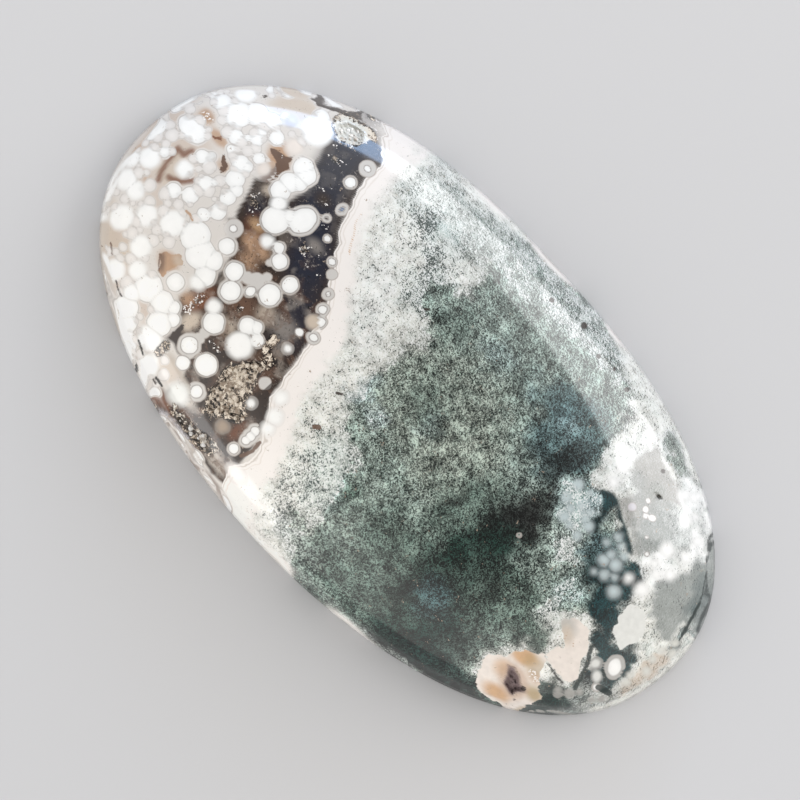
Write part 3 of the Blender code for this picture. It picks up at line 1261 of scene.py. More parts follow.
@dataclass
class GroundColours:
    """The broad colours that lie under orbs, moss and veins.

    Attributes:
        shapes: The large outlines by name. "band" holds all beyond the matrix.
        milk: Warm and brown places between the crowded orbs.
        dark: The dark matrix and the stains in it.
        moss: The lichen-pale ground and the mossy body.
        end: The white, grey and beige chalcedony of the right end.
        band_lap: How far the cream ground stays off the matrix.
    """

    shapes: str = """
    matrix: -14.7 7.2, -14 6, -13.9 5.5, -13 5.3, -13 4, -13.4 2.8, -14.6 2.9,
        -15.7 2.4, -15.3 1.6, -15.1 0.9, -14.95 0.4, -14.7 -0.1, -14.95 -0.4, -14.2 -1,
        -13.3 -1.2, -13.15 -1.9, -13.1 -2.6, -12.75 -3.5, -12.8 -4.2, -13.3 -4.6,
        -13.5 -5.6, -13.2 -6, -12.6 -6.4, -12.25 -7, -12.3 -7.9, -11.8 -7.7, -11.2 -7.9,
        -10.3 -7.9, -9.95 -8.7, -10 -9.9, -9.6 -10.6, -8.5 -11, -6.5 -11.1, -4.6 -11.3,
        -3.6 -11.2, -4.1 -8.4, -4.5 -7.2, -4.9 -6.5, -5.5 -5.6, -5.9 -4, -6.2 -2.7,
        -6.5 -1.5, -6.8 -0.5, -7.4 0.6, -8.2 1.6, -9.4 3.3, -10 3.9, -10.35 4.5,
        -10.5 5.2, -10.9 6, -11.2 7, -11.3 8.5, -11.8 9.1, -12.8 9.2, -14.6 9,
        -15.1 8.5, -14.9 7.7;
    band: -12.6 11.6, -12.5 10.2, -12.7 9.5, -12.2 9.3, -11.3 8.5, -11.2 7, -10.9 6,
        -10.5 5.2, -10.35 4.5, -10 3.9, -9.4 3.3, -8.2 1.6, -7.4 0.6, -6.8 -0.5,
        -6.5 -1.5, -6.2 -2.7, -5.9 -4, -5.5 -5.6, -4.9 -6.5, -4.5 -7.2, -3.9 -7.6,
        -3.8 -8, -3.6 -8.7, -3.8 -9.6, -4.3 -10.3, -3.9 -11, -3.1 -12.6, 1 -13, 26 -13,
        26 14, -12 14;
    lichen: -10.2 13.5, -10.3 9, -10.2 8, -9.9 6, -9.4 5, -8.4 3.6, -6.8 1.9, -5.7 0.8,
        -5 -0.5, -4.9 -2, -4.2 -4, -3.9 -4.8, -3.2 -6, -2.5 -7.3, -2.2 -8.5, -1.8 -9.5,
        -1.2 -10.6, -0.6 -13, 26 -13, 26 14;
    moss_body: -3.2 13, -2.6 9, -2.3 8, -2.3 6.9, -4.4 6.1, -4.3 5.1, -2.8 4.3,
        -1.6 3.2, -1.9 1, -2.2 0, -2 -2, -1.8 -3, -1.6 -3.6, 0.2 -4.4, 0.7 -5.2, 1 -7,
        1.5 -8.6, 2 -10.4, 2.6 -13, 18 -13, 19.6 -8, 17.8 -7.4, 14.6 -7.6, 14.2 -6,
        15.2 -4.6, 15 -2.4, 16.5 -0.4, 17.2 1, 16.8 2.6, 15.4 3.6, 13 5, 11.2 4.8,
        10.6 5.2, 10.9 6.3, 10 7.2, 10 8.5, 9.4 9.6, 7 11, 6 13;
    end_grey: 18 8.2, 18.7 7.3, 18.7 5.9, 18 4.2, 18.3 2.6, 19.6 1.9, 20.3 1.6,
        20.9 2.4, 21.2 4, 20.9 5.6, 20 7.4, 19 8.8;
    end_teal: 15.4 3.6, 16.2 3.9, 16.9 3.6, 17.3 2.9, 17.6 2, 17.5 1.2, 17.9 0.4,
        18.6 -0.3, 19.4 -0.5, 19.9 0.2, 20.4 -0.4, 20.7 -1.6, 21 -2.6, 20.3 -3.2,
        19.6 -3.4, 19.3 -4.3, 18.9 -3.4, 18.4 -2.5, 18 -1.6, 17.4 -0.8, 16.6 -0.7,
        15.8 0.3, 15.2 1, 14.6 0.9, 14.7 2, 15.2 2.8;
    abyss: 11.45 4.9, 11.6 5.2, 12.1 5.45, 12.7 5.45, 13.1 5.15, 13.9 4.8, 14.6 4.45,
        15.3 4.15, 15.65 3.85, 15.3 3.65, 14.9 3.85, 14.3 3.95, 14 4.1, 13.9 4.6,
        13.4 4.6, 12.9 5, 12.8 4.6, 12.9 4.1, 13 3.6, 13.25 3.3, 13.15 3.08, 12.6 3.05,
        12.4 3.4, 12.6 4, 12.3 4.4, 11.9 4.75;
    chalcedony: 11.6 7, 11.5 8.6, 12.3 9.2, 13.4 8.9, 14.6 8.5, 15.1 8.1, 15 7.2,
        15.5 6.8, 16.2 6.2, 16.4 5.6, 16.2 4.6, 15.9 4.1, 15 4.3, 14 4.8, 13 5.4, 13 6,
        12.6 6.4, 12.3 7;
    rim_pale: 17.6 9.3, 19 8.2, 20.4 7, 21.3 5.8, 22 4.2, 22.3 2.4, 22.4 1
    """
    milk: str = """
    WARM_MILK 1 0.9: -20.8 0.4 2.6 0.8; WARM_MILK 0.7 0.7: -18.6 -2.6 1.8 0.5 -20;
    WARM_MILK 0.6 0.9: -18 -6.4 2.4 0.4 -40; WARM_MILK 0.4 0.8: -14.2 -7.7 0.9 0.5 -20;
    WARM_MILK 0.5 0.7: -13.6 -9.6 2.4 0.3 -22; BEIGE 0.5 0.8: -17.2 7 1.6 0.5 35;
    TAN 0.25: -20.4 2.75 0.5 0.8; TAN 0.3 0.6: -20.5 -2.4 0.6 0.7;
    TAN 0.3 0.7: -21.9 -1.2 0.4; TAN 0.3 0.9: -18.9 2.4 0.8 0.4;
    BEIGE 0.4 0.9: -19.8 -0.4 0.9 0.4 95; BEIGE 0.4 0.9: -19.2 -1.3 1 0.5 12;
    TAN: -15.6 4.2 1.1 0.6 -40; UMBER 0.3 0.9: -15.1 3.2 0.9 0.4 80;
    TAN 0.3 0.9: -15.5 -4.7 0.7 0.75; BEIGE 0.4: -17.8 -6.3 0.8 0.6 -30;
    BEIGE 0.5 0.7: -19.3 -6.4 2.2 0.3 -48; WARM_GREY 0.5 0.6: -16.4 -9 2 0.3 -32;
    TAN 0.25 0.7: -17.4 1.5 0.5 0.6; WARM_GREY 0.3 0.8: -13 -9.3 0.9 0.4 -20;
    RUST 0.14 0.9: 0.17/ -20.1 0.25, -19.6 0.2, -19.45 0.75;
    RUST 0.14 0.9: 0.17/ -20.1 0, -19.95 -0.7, -19.8 -1.3, -19.5 -1.9;
    RUST 0.14 0.9: 0.17/ -19.2 -1.35, -18.5 -1, -18.1 -0.45
    """
    dark: str = """
    CHAR 0.12: matrix; NAVY 0.7: 1.2/ -13.4 8.2, -12.8 6, -11.6 3.4, -9.8 1.4;
    NAVY 0.8 0.75: 1/ -9.8 1.4, -8 -1, -7.6 -2.4; NAVY 0.4 0.7: -14.2 1.2 1 0.6 -50;
    CHAR 0.4: -12 4.5 0.5 0.7; RUST 0.4 0.5: -13.3 0.2 1.1 0.6 -40;
    TAN 0.4: -12.6 -0.3 0.9 0.6; TAN 0.3 0.9: -12.3 -1.2 0.6 0.7;
    GOLD 0.3: -13.5 0.6 0.5 0.6; RUST 0.4: -12.6 -4.8 1 0.6 80;
    TAN 0.3 0.8: -13.1 -5.3 0.5 0.8; BEIGE 0.3: -12 -6.1 0.7 0.7 80;
    BEIGE 0.4 0.8: -10.3 -4.7 0.5; BEIGE 0.4 0.7: -9.3 -2.6 0.6;
    WARM_GREY 0.4 0.45: -10.3 2.3 0.5 0.6; BEIGE 0.25 0.8: -14.6 2.45 0.3;
    UMBER 0.5: -10.5 -3.3 0.8; UMBER 0.6 0.7: -7.5 -6 2.2 0.5 80;
    WARM_GREY 0.5 0.4: -8 -2.3 0.8 0.8; WARM_GREY: -11 -8.9 1.1 0.6;
    WARM_GREY: -9.6 -9.2 1.5 0.35 -12; BEIGE 0.3 0.7: -10.9 -9.1 0.7 0.8;
    UMBER 0.3 0.9: -8 -10.45 2.4 0.2 -6; RUST 0.25 0.7: -9.5 -10.5 0.6 0.5 -10;
    WARM_GREY 0.35 0.9: -5.2 -10.6 1.3 0.3 -10; LILAC 0.15 0.8: -7.2 -11.05 1.4 0.14 -8;
    UMBER 0.25 0.6: -6.2 -11.6 3 0.1 -7; WARM_GREY 0.2 0.7: -12.5 -10.4 3.6 0.08 -18;
    RUST 0.35 0.8: -5.4 -8.4 0.7 0.5 90
    """
    moss: str = """
    LICHEN 0.5: lichen; PALE_MOSS 1 0.85: -7.2 9.4 2.8 0.6 10;
    PALE_MOSS 0.9 0.8: -4.8 9.7 2.2 0.6 5; FROST 0.8 0.8: -5.6 2.6 3.2 0.35 125;
    MOSS 1 0.5: -3.4 9.3 3.4 0.4 5; ICE 0.6 0.8: -6.2 8.4 0.9 0.9;
    PALE_MOSS 0.8 0.7: -5.2 7.4 1.6 0.6 -40; PALE_MOSS 0.9 0.8: -3.9 5.2 1.6 0.8 90;
    MOSS 0.6: moss_body; BROWN_MOSS 1.8 0.8: 1.5 1.5 4.2 0.85 20;
    BROWN_MOSS 1.4 0.8: 4.8 -0.2 2.6; PALE_MOSS 0.9 0.75: -0.8 10.8 5 0.3;
    PALE_MOSS 0.7 0.6: 4.6 11.1 3.6 0.3 -8; GREEN_MOSS 1 0.6: -1.5 5.2 1.2;
    BLUE_GREY 0.5 0.6: -2.2 -1.5 1.2 0.5 90; SKY 0.5 0.35: -0.5 -1.8 0.6;
    BLUE_GREY 0.7 0.35: 1.6 5.8 0.8; BLUE_GREY 0.6 0.3: 2 0.2 0.7;
    ICE 0.8 0.45: 0 -6.2 2.4 0.6 -50; PALE_MOSS 0.8 0.6: 1.6 -10.2 1.6 0.5 -12;
    FERN 0.5 0.7: 1.8 -6.2 0.9 0.55 90; FERN 0.4 0.7: 0.6 -9.2 0.5;
    GREEN_MOSS 1 0.9: 6.4 -9.8 3.4 0.4 -6; SLATE 0.9 0.9: 12.6 -9.4 4.4 0.3 8;
    FOREST 0.6 0.8: 12.6 -10.5 4.8 0.2 12; GREEN_MOSS 0.5 0.9: 16.6 -8.7 1.8 0.4 30;
    GREEN_MOSS 1 0.6: 2.2 -9.8 2.2 0.6; GREEN_MOSS 1.2 0.9: 7.2 -1.6 2.6 0.7 80;
    MOSS 1.2 0.6: 4.6 -6.6 2.6 0.9; GREEN_MOSS 1.6 0.9: 6.4 -6.8 3.2 0.8 -20;
    MOSS 0.6 0.4: -1.5 10.4 5 0.2; TEAL 0.9 0.8: 8.2 5.6 2.6 0.8 80;
    TEAL 0.8 0.7: 6 6.8 1.8 0.6 30; BLUE_GREY 0.6 0.4: 7.6 6.2 0.8 0.8;
    FOREST 0.6 0.7: 8.8 4.4 1.6 0.4 80; FOREST 0.5 0.35: 7.1 3.6 0.7 0.7;
    FOREST 0.6 0.9: 10 3 1.3 0.6 80; GREEN_MOSS 1 0.6: 0.8 1 1.6 0.8;
    FOREST 0.35 0.7: 6.2 -1.8 1 0.3 84; FOREST 0.8 0.95: 9.6 -0.3 2.5 0.55 75;
    DEEP_TEAL 1 0.85: 9.8 -5.4 5 0.5 88; SLATE 1 0.8: 12 -7.6 2.6 0.7 80;
    FOREST 0.7 0.6: 8.2 -7.8 1.2 0.6 70; TEAL 0.8 0.7: 9.5 -6.5 1;
    DEEP_TEAL 0.5 0.8: 8.4 -3.8 0.8; GREEN_MOSS 1 0.85: 12.7 -3.4 2.6 0.7 80;
    MOSS 0.7 0.9: 13.2 -0.6 1.3 0.8; FOREST 0.6 0.6: 11.6 -3.6 0.9 0.6 -50;
    ICE 0.8 0.75: 11.3 3.4 1.4 0.9; SKY 0.5 0.7: 11.9 4.3 0.7 0.8;
    PALE_MOSS 0.8 0.6: 13 1.4 1.2 0.8; TEAL 0.6 0.9: 14.4 2.2 1.6 0.7 -50;
    SLATE 0.5 0.8: 15 1 1.5 0.5 -40; BLUE_GREY 0.4 0.6: 11.4 4.3 0.9 0.6 -30;
    FOREST 0.4 0.8: 15.3 -3.9 0.8 0.8; ICE 0.6 0.5: 14.6 -0.4 1.2 0.6 60;
    PALE_MOSS 0.6 0.6: 14.8 -2 1 0.7 -40; GREEN_MOSS 0.6 0.85: 15.2 -3.5 1.1 0.9;
    SMOKE 0.25 0.5: 10.4 -11.3 3 0.14 12
    """
    end: str = """
    FROST 0.6 0.85: 11.8 8 2.7 0.4 80; FROST 0.6: 17 6.4 4 0.55 -48;
    PALE_MOSS 0.5 0.6: 16.4 7.6 1.1 0.5 -40; PALE_MOSS 0.4 0.5: 17.4 4.9 1 0.5 -60;
    WHITE 0.4 0.9: 18 7 0.9 0.7 -40; WHITE 0.4 0.9: 17.6 4.4 1 0.7 -20;
    WHITE 0.3 0.8: 16.9 3 0.8 0.5 -60; WHITE 0.4 0.8: 15.9 8.6 1.1 0.5 -30;
    WHITE 0.3 0.7: 16.6 5.4 1.2 0.4 -60; CHALCEDONY 0.22: chalcedony;
    MOSS 0.35 0.8: 13.4 9.9 1.7 0.35 -18; SMOKE 0.5 0.9: 15.2 5.6 1.5 0.7 -35;
    SMOKE 0.5 0.6: 12.9 6.6 1 0.7; SMOKE 0.4 0.85: 16.3 6.7 1.6 0.5 -22;
    SMOKE 0.3 0.6: 17 8.3 0.8 0.4 -30; MOSS 0.4 0.35: 14 7.4 0.7 0.6; SMOKE: end_grey;
    ABYSS 0.4: end_teal; ABYSS 0.5 0.8: 16.6 1.4 1.2 0.6 -45;
    ABYSS 0.3 0.7: 16.9 2.8 0.5 0.6 -45; ABYSS 0.3 0.7: 18.8 -0.9 1.4 0.3 -35;
    TEAL 0.5 0.4: 20.4 4.8 1.6 0.3 110; PALE_MOSS 0.35 0.7: 20.4 0.9 0.7 0.6;
    SLATE 0.6 0.95: 18.9 -6.1 2.6 0.55 62; SLATE 0.5 0.95: 19.2 -4.6 1.5 0.6 75;
    ABYSS 0.4 0.9: 19.6 -0.4 1.2 0.5 -60; SMOKE 0.5 0.6: 20.3 -4.2 1.5 0.7 -60;
    SLATE 0.4 0.6: 19.6 -5.4 0.7 0.6; PALE_MOSS 0.25 0.9: 20.9 -4.1 0.45 0.7;
    PALE_MOSS 0.2 0.9: 21.5 -3.8 0.35 0.6; BEIGE 0.3 0.95: 21.8 -0.6 2 0.36 90;
    LICHEN 0.35 0.7: 21.7 1.6 0.8 0.8; SLATE 0.3 0.7: 21.5 -2.8 0.8 0.5 60;
    PALE_MOSS 0.12 0.9: 0.16/ rim_pale;
    TEAL 0.25 0.85: 0.26/ 20.9 5.4, 21.4 4, 21.5 2.7, 21.4 1.6
    """
    band_lap: float = 0.4

    def __post_init__(self) -> None:
        """Read the outlines."""
        self.outlines = {name: path(line) for (name,), line in rows(self.shapes)}

    def fields(self, canvas: Canvas) -> dict[str, np.ndarray]:
        """Where the matrix, the milk between the orbs and the band lie.

        Args:
            canvas: The stone's surface.

        Returns:
            The fields matrix, milk, band and band_fade.
        """
        gap = outline_distance(canvas.x, canvas.y, self.outlines["matrix"])
        band = outline_distance(canvas.x, canvas.y, self.outlines["band"])
        matrix = soft_step(gap, 0.15) * soft_step(-band - 0.3, 0.2)
        return {
            "matrix": matrix,
            "milk": (1.0 - soft_step(gap - 0.15, 0.25)) * soft_step(-band, 0.2),
            "band": np.clip(band, -3.0, 3.0),
            "band_fade": soft_step(-band - 1.1, 0.7),
        }

    def draw(self, canvas: Canvas, rough: Canvas) -> np.ndarray:
        """Paint the ground.

        Args:
            canvas: The stone's surface.
            rough: The same surface with its places pushed about, for the moss.

        Returns:
            The colour of each point.
        """
        colour = np.tile(np.array(Tint.MILK.albedo()), (canvas.x.size, 1))
        canvas.lay(colour, washes(self.milk))
        canvas.lay(colour, washes(self.dark, self.outlines))
        band = outline_distance(canvas.x, canvas.y, self.outlines["band"])
        share = soft_step(band + self.band_lap, 0.3)[:, None]
        colour += (np.array(Tint.CREAM.albedo()) - colour) * share
        rough.lay(colour, washes(self.moss, self.outlines))
        rough.lay(colour, washes(self.end, self.outlines))
        canvas.lay(colour, washes("ABYSS 0.13: abyss", self.outlines))
        return colour


@dataclass
class SharpMarks:
    """Marks with a definite edge.

    Attributes:
        patches: Sharp-edged patches of one colour.
        strokes: Veins and cracks, and painted shade along the lower shoulder.
        pits: Small round holes.
        stains: Colours inside the patches.
        sparkles: Places with small angular crystals.
        crusts: Places that ragged crystals cover.
        frosted: Where the crust is white.
    """

    patches: tuple[tuple[Shape, Tint], ...] = tinted("""
    FROST: 17.9 2, 18.6 2.1, 19.1 1.7, 19.4 1.5, 19.65 1, 19.7 0.6, 19.5 0.1,
        19.45 -0.35, 19.2 -0.5, 18.8 -0.35, 18.4 -0.2, 18.1 0.1, 17.95 0.5, 17.7 0.9,
        17.7 1.2, 17.6 1.6;
    PINK_MILK: 15.6 -1.9, 16 -1.2, 16.5 -1, 17.2 -1.05, 17.7 -1.5, 18.2 -2.1, 18.3 -2.6,
        18.6 -3.1, 18.95 -3.4, 18.85 -3.9, 18.4 -4.25, 17.9 -4.15, 17.2 -4.1, 16.8 -4,
        16.5 -3.6, 16.6 -3.1, 17 -2.9, 16.8 -2.6, 16.3 -2.3, 15.9 -2.1;
    PINK_MILK: 14.2 -6.6, 14.6 -6, 15.1 -5.6, 15.2 -5, 15.6 -4.6, 16.1 -4.3, 16.2 -3.95,
        16.5 -3.9, 16.9 -4.2, 17.1 -4.8, 17.6 -5.3, 17.9 -5.7, 18.4 -5.7, 18.4 -6.1,
        18.2 -6.8, 18.2 -7.3, 17.8 -7.6, 17.4 -8.1, 16.6 -8.4, 16.1 -8.7, 15.6 -8.3,
        15 -8.1, 14.7 -7.5, 14.4 -7;
    TAN: -15.55 -4.05, -15.35 -3.95, -14.9 -3.95, -14.8 -4.2, -15 -4.6, -15.05 -5.2,
        -15 -5.55, -15.35 -5.6, -15.55 -5.5, -15.75 -5.1, -16.05 -4.85, -16.2 -4.75,
        -16.15 -4.5, -15.95 -4.4, -15.75 -4.35;
    UMBER: -16.5 4.2, -16.1 4.4, -15.9 4.75, -15.75 4.55, -15.3 4.7, -15.1 5, -15 4.45,
        -14.75 4.25, -14.85 3.6, -14.85 2.8, -15.1 2.5, -15.2 3.3, -15.5 3.9, -16 4;
    UMBER: -18.1 1.9, -17.8 1.95, -17.35 1.7, -17.15 1.3, -17.25 1.05, -17.5 1.3,
        -17.85 1.65;
    RUST: -19.35 2.2, -19.15 2.05, -18.85 2.25, -18.5 2.35, -18.65 2.5, -18.9 2.65,
        -19.1 2.4;
    CHAR: -12.25 -6.45, -12 -6.5, -11.95 -7, -11.8 -7.3, -11.65 -7.7, -12 -7.6,
        -12.2 -7.7, -12.25 -7
    """)
    # The thin WARM_GREY line from -16 -8.7 to -5 -11.3 and the dark dashes about 1 mm
    # in from the lower rim, between -18.8 -6.5 and -10.8 -10.15, are painted shade
    # where the dome meets the wall on the lower side
    strokes: tuple[tuple[Shape, Tint], ...] = tinted("""
    CHAR: 0.05/ -11.3 7, -11.15 6.5, -10.9 5.9; UMBER: 0.05/ -14.05 6, -14 5.4;
    CHAR: 0.05/ -16.9 -7.8, -16 -8.2; UMBER: 0.05/ -18.8 -6.5, -18.2 -6.9;
    UMBER: 0.04/ -18.75 -7.45, -18.5 -7.7; CHAR: 0.06/ -15.5 -9.15, -15.25 -9.55;
    INK: 0.06/ -13.4 -9.2, -12.55 -9.55; INK: 0.07/ -11.05 -9.9, -10.4 -9.97;
    CHAR: 0.06/ -11.1 -10.1, -10.8 -10.15; UMBER: 0.05/ -7.2 2.2, -7.1 2, -6.8 1.9;
    OCHRE: 0.05/ -9.85 5.6, -9.85 5.2, -9.3 4.4, -8.6 3.4;
    UMBER: 0.11/ -4 -7.9, -3.95 -8.6, -4.2 -9.3;
    TAN: 0.07/ -17 -1.9, -16.7 -1.85, -16.3 -2;
    UMBER: 0.05/ -16.15 -4.75, -15.85 -5.15, -15.45 -5.55;
    CHAR: 0.08/ -19.05 6.05, -19 6.2; SLATE: 0.13/ 18 -1.6, 18.6 -2.4, 19 -3.3, 19.3 -4;
    SLATE: 0.09/ 19.5 -2, 20.2 -2.4; SLATE: 0.2/ 20.2 -2.9, 20.9 -2.7;
    INK: 0.06/ 17 -4.15, 18 -4.3, 18.6 -4.3;
    SLATE: 0.05/ 17 8.8, 18.4 7.6, 19.5 6.5, 20.4 5.3, 21 3.9, 21.4 2.5;
    SLATE: 0.09/ 20.6 4.9, 21 3.8, 21.3 2.8;
    CHAR: 0.1/ -16.6 8.1, -15.3 8.85, -13.9 9.6, -12.9 10.3;
    WARM_GREY: 0.02/ -16 -8.7, -14.4 -9.6, -12 -10.5, -9 -11, -5 -11.3;
    CHAR: 0.1/ -3.25 4.55, -3.1 4.7; CHAR: 0.1/ -3.1 -2.6, -2.85 -2.4;
    UMBER: 0.14/ -2.5 -4.9, -2.3 -4.7; TAN: 0.03/ 16.3 -1.9, 16.6 -2.4, 16.9 -3;
    TAN: 0.03/ 16.9 -2, 17.3 -2.4;
    UMBER: 0.03/ 15.5 -5.95, 15.9 -5.75, 16.5 -5.9, 16.95 -6.2
    """)
    pits: tuple[Round, ...] = rounds("""
    1.4 10.5 0.16, 3.8 10.9 0.2, 5.7 10.3 0.14, 6.9 10.5 0.12, 8.3 10.2 0.16,
    13.3 8.5 0.14, 13.6 7.8 0.08, 17.25 -6.25 0.16, 17.4 -7.1 0.09, 17.4 -7.7 0.09,
    15.2 -8.15 0.1
    """)
    stains: tuple[Wash, ...] = washes("""
    OCHRE 0.3 0.9: 15.8 -4.9 0.8 0.6 20; OLIVE 0.3 0.5: 16.6 -4.8 0.8 0.7;
    SMOKE 0.4 0.5: 15.9 -1.8 0.8 0.7; TAN 0.2 0.6: 15.7 -4.4 0.3 0.6 40;
    OCHRE 0.35 0.85: 16.4 -7.6 0.9 0.5 10; OLIVE 0.3 0.8: 17.9 -6 0.6 0.7;
    OCHRE 0.3 0.5: 17.2 -5.3 0.5 0.6; OCHRE 0.3 0.6: 15.4 -6.3 0.5;
    TAN 0.25 0.6: 16.5 -6.4 1.2 0.7 -20; BEIGE 0.3 0.8: 16.5 -2.2 0.6 0.6 -40;
    UMBER 0.25 0.8: -15.8 -5 0.6 0.4 -45; BEIGE 0.25 0.7: -15.1 -4.2 0.4 0.7;
    PLUM 0.08: 15.5 -5.95, 15.9 -5.8, 16.5 -5.95, 16.95 -6.25, 17.25 -6.1, 17.45 -6.35,
        17.15 -6.7, 17.1 -7.1, 16.6 -7, 16.15 -6.9, 16 -6.45
    """)
    sparkles: tuple[tuple[Shape, float, float], ...] = levels("""
    0.9 0.15: 0.1/ -14.9 1.6, -14.6 2; 0.9 0.15: -14.4 1.3 0.2;
    0.8 0.12: -14.3 0.8 0.12; 0.8 0.12: -13.5 0.7 0.12; 0.75 0.15: -10.6 1.6 0.35 0.6;
    0.8 0.12: -10.5 1.85 0.15; 0.9 0.1: -9.75 1.2 0.1; 0.8 0.1: -9.6 2 0.12;
    0.9 0.1: -9 1.2 0.1; 0.8 0.1: -8.7 -0.75 0.1; 0.85 0.12: -13.3 6.6 0.4 0.35;
    0.8 0.1: -13 6.9 0.14; 0.8 0.1: -14 7.2 0.14; 0.8 0.1: -12.15 5.3 0.14;
    0.8 0.12: -12.45 4.85 0.25 0.6; 0.9 0.1: 0.08/ -11.6 4.4, -11.4 4.2;
    0.8 0.1: -10.8 3.5 0.1; 0.8 0.1: -15.6 4.35 0.12; 0.8 0.1: -10.6 -3.4 0.14;
    0.75 0.15: 0.2/ -12.6 -4.8, -12.7 -5.3, -12.7 -5.8; 0.75 0.12: -9.9 -6.05 0.4 0.35;
    0.8 0.1: -12.7 2.75 0.12; 0.95 0.1: -12 -8.5 0.4; 0.6 0.2: -20.3 2.8 0.35 0.8;
    0.7 0.2: 17.1 -5.2 0.45 0.8; 0.35 0.3: -13.2 9.2 0.9 0.4 30
    """)
    crusts: tuple[tuple[Shape, float, float], ...] = levels("""
    1 0.35: 0.3/ -8 -3.2, -7.7 -3.9, -7.1 -4.3, -7.3 -5; 0.9 0.3: -6.9 -4.1 0.3;
    1 0.3: -8.1 -5.2, -8.6 -6, -8.7 -6.8, -8.3 -7.4, -8.4 -8, -8 -8.6, -7.6 -9.2,
        -7.1 -9.2, -6.8 -8.6, -6 -8.4, -5.6 -8, -5.8 -7.3, -6.3 -7, -6.5 -6.2,
        -6.9 -5.2, -7.5 -4.9;
    0.8 0.3: -9.3 -10.1, -8.6 -10.1, -7 -9.95, -5.7 -9.75, -5.3 -10.1, -5.3 -10.8,
        -6.6 -11, -8.2 -10.95, -9.2 -10.6;
    0.95 0.2: 0.3/ -12 -8.15, -12 -8.75; 0.7 0.2: -10.6 -3.5 0.25;
    0.7 0.25: -12.6 -5.2 0.4 0.5 90;
    1.5 0.25: -15.3 8.4, -14.9 7.8, -14 7.5, -13.2 7.8, -12.9 8.6, -12.7 9.2, -13.2 9.5,
        -14.3 9.2, -15.1 8.9;
    0.75 0.2: -13.3 6.6 0.4 0.5; 0.7 0.25: -10.6 1.7 0.35; 0.65 0.3: -14.6 1.4 0.4 0.7;
    0.4 0.1: 14.2 7.3 0.22
    """)
    frosted: tuple[Round, ...] = rounds("""
    -14 8.2 1.2, -13.2 6.6 0.8, -10.6 1.7 0.6, -7 -10 2.6 0.2 5
    """)

    def crust(self, canvas: Canvas) -> dict[str, np.ndarray]:
        """Draw where crystals crust the matrix, and their colour.

        Args:
            canvas: The stone's surface.

        Returns:
            The fields crust and crust_tint.
        """
        amount = np.zeros_like(canvas.x)
        canvas.raise_to(amount, self.crusts)
        tint = np.tile(np.array(Tint.KHAKI.albedo()), (canvas.x.size, 1))
        canvas.lay(tint, tuple(Wash(shape, Tint.LICHEN) for shape in self.frosted))
        return {"crust": amount, "crust_tint": tint}

    def draw(self, canvas: Canvas) -> dict[str, np.ndarray]:
        """Draw the marks.

        Args:
            canvas: The stone's surface.

        Returns:
            The fields patch, patch_tint, stroke, stroke_tint and sparkle.
        """
        made: dict[str, np.ndarray] = {}
        pits = tuple((pit, Tint.CHAR) for pit in self.pits)
        strokes = (*self.strokes, *pits)
        for name, marks in (("patch", self.patches), ("stroke", strokes)):
            made[name], owner, _ = canvas.nearest([shape for shape, _ in marks])
            tints = np.array([tint.albedo() for _, tint in marks])
            made[f"{name}_tint"] = tints[owner]
        canvas.lay(made["patch_tint"], self.stains)
        made["sparkle"] = np.zeros_like(canvas.x)
        canvas.raise_to(made["sparkle"], self.sparkles)
        return made


@dataclass
class MossGrowth:
    """How much moss each place holds, and how dark it is.

    Attributes:
        amounts: What the amount is brought to, place by place.
        darks: What the darkness is brought to.
        bare_dark: The darkness of all other places.
    """

    amounts: str = """
    0.75 0.5: lichen; 1 0.7: moss_body; 0.5 0.6: 17.3 6.9 3.6 0.55 -50;
    0.2 0.3: chalcedony; 0.15 0.4: end_grey; 0.3 0.2: abyss;
    0.35 0.4: 21.7 -0.3 2.2 0.4 88
    """
    darks: str = """
    0.46 0.8: lichen; 0.6 0.8: -6 10 3.4 0.4; 0.76 0.7: moss_body;
    1.3 0.7: -7 8 1.2 0.7 85; 1.1 0.6: -5.2 6.9 1.3 0.4 -30; 1 0.5: -8.6 8.7 0.5 0.7;
    0.85 0.6: -4.3 8.9 0.8 0.7; 0.95 0.6: -4.6 5.6 0.9 0.6; 1 0.6: -3.6 4.8 1.5 0.5;
    0.8 0.6: -4.2 7.2 0.8 0.6; 0.9 1: 9 4 2.6 0.7 80; 1 1: 10 -3.5 6 0.45 88;
    1 0.8: 12.5 -9.6 4.4 0.3 8; 0.95 0.4: -2.6 -5 0.5 0.7;
    0.85 0.7: -0.8 -5.6 1.3 0.5 -50; 0.9 0.8: -0.4 -7.6 2.2 0.7 -60;
    0.9 0.6: 0 -9.6 0.9 0.8; 0.9 0.8: 3 -10 3 0.4 -12; 0.6 0.6: 11.3 3.4 1.4;
    0.6 0.8: -0.8 10.8 5 0.3; 0.35 0.6: 11.6 7.4 2.6 0.5 80;
    0.3 0.6: 16.8 6.6 3.6 0.6 -50; 0 0.3: chalcedony; 0.15 0.4: end_grey;
    0.7 0.4: end_teal; 0.5 0.2: abyss
    """
    bare_dark: float = -0.2

    def draw(self, canvas: Canvas, colours: GroundColours) -> dict[str, np.ndarray]:
        """Draw the moss.

        Args:
            canvas: The stone's surface, with its places pushed about.
            colours: The ground, for the outlines that it shares.

        Returns:
            The fields moss and moss_dark.
        """
        amount = np.zeros_like(canvas.x)
        canvas.raise_to(amount, levels(self.amounts, colours.outlines))
        dark = np.full_like(canvas.x, self.bare_dark)
        canvas.raise_to(dark, levels(self.darks, colours.outlines))
        return {"moss": amount, "moss_dark": dark}


# ------------------------------------------------------------- the stone


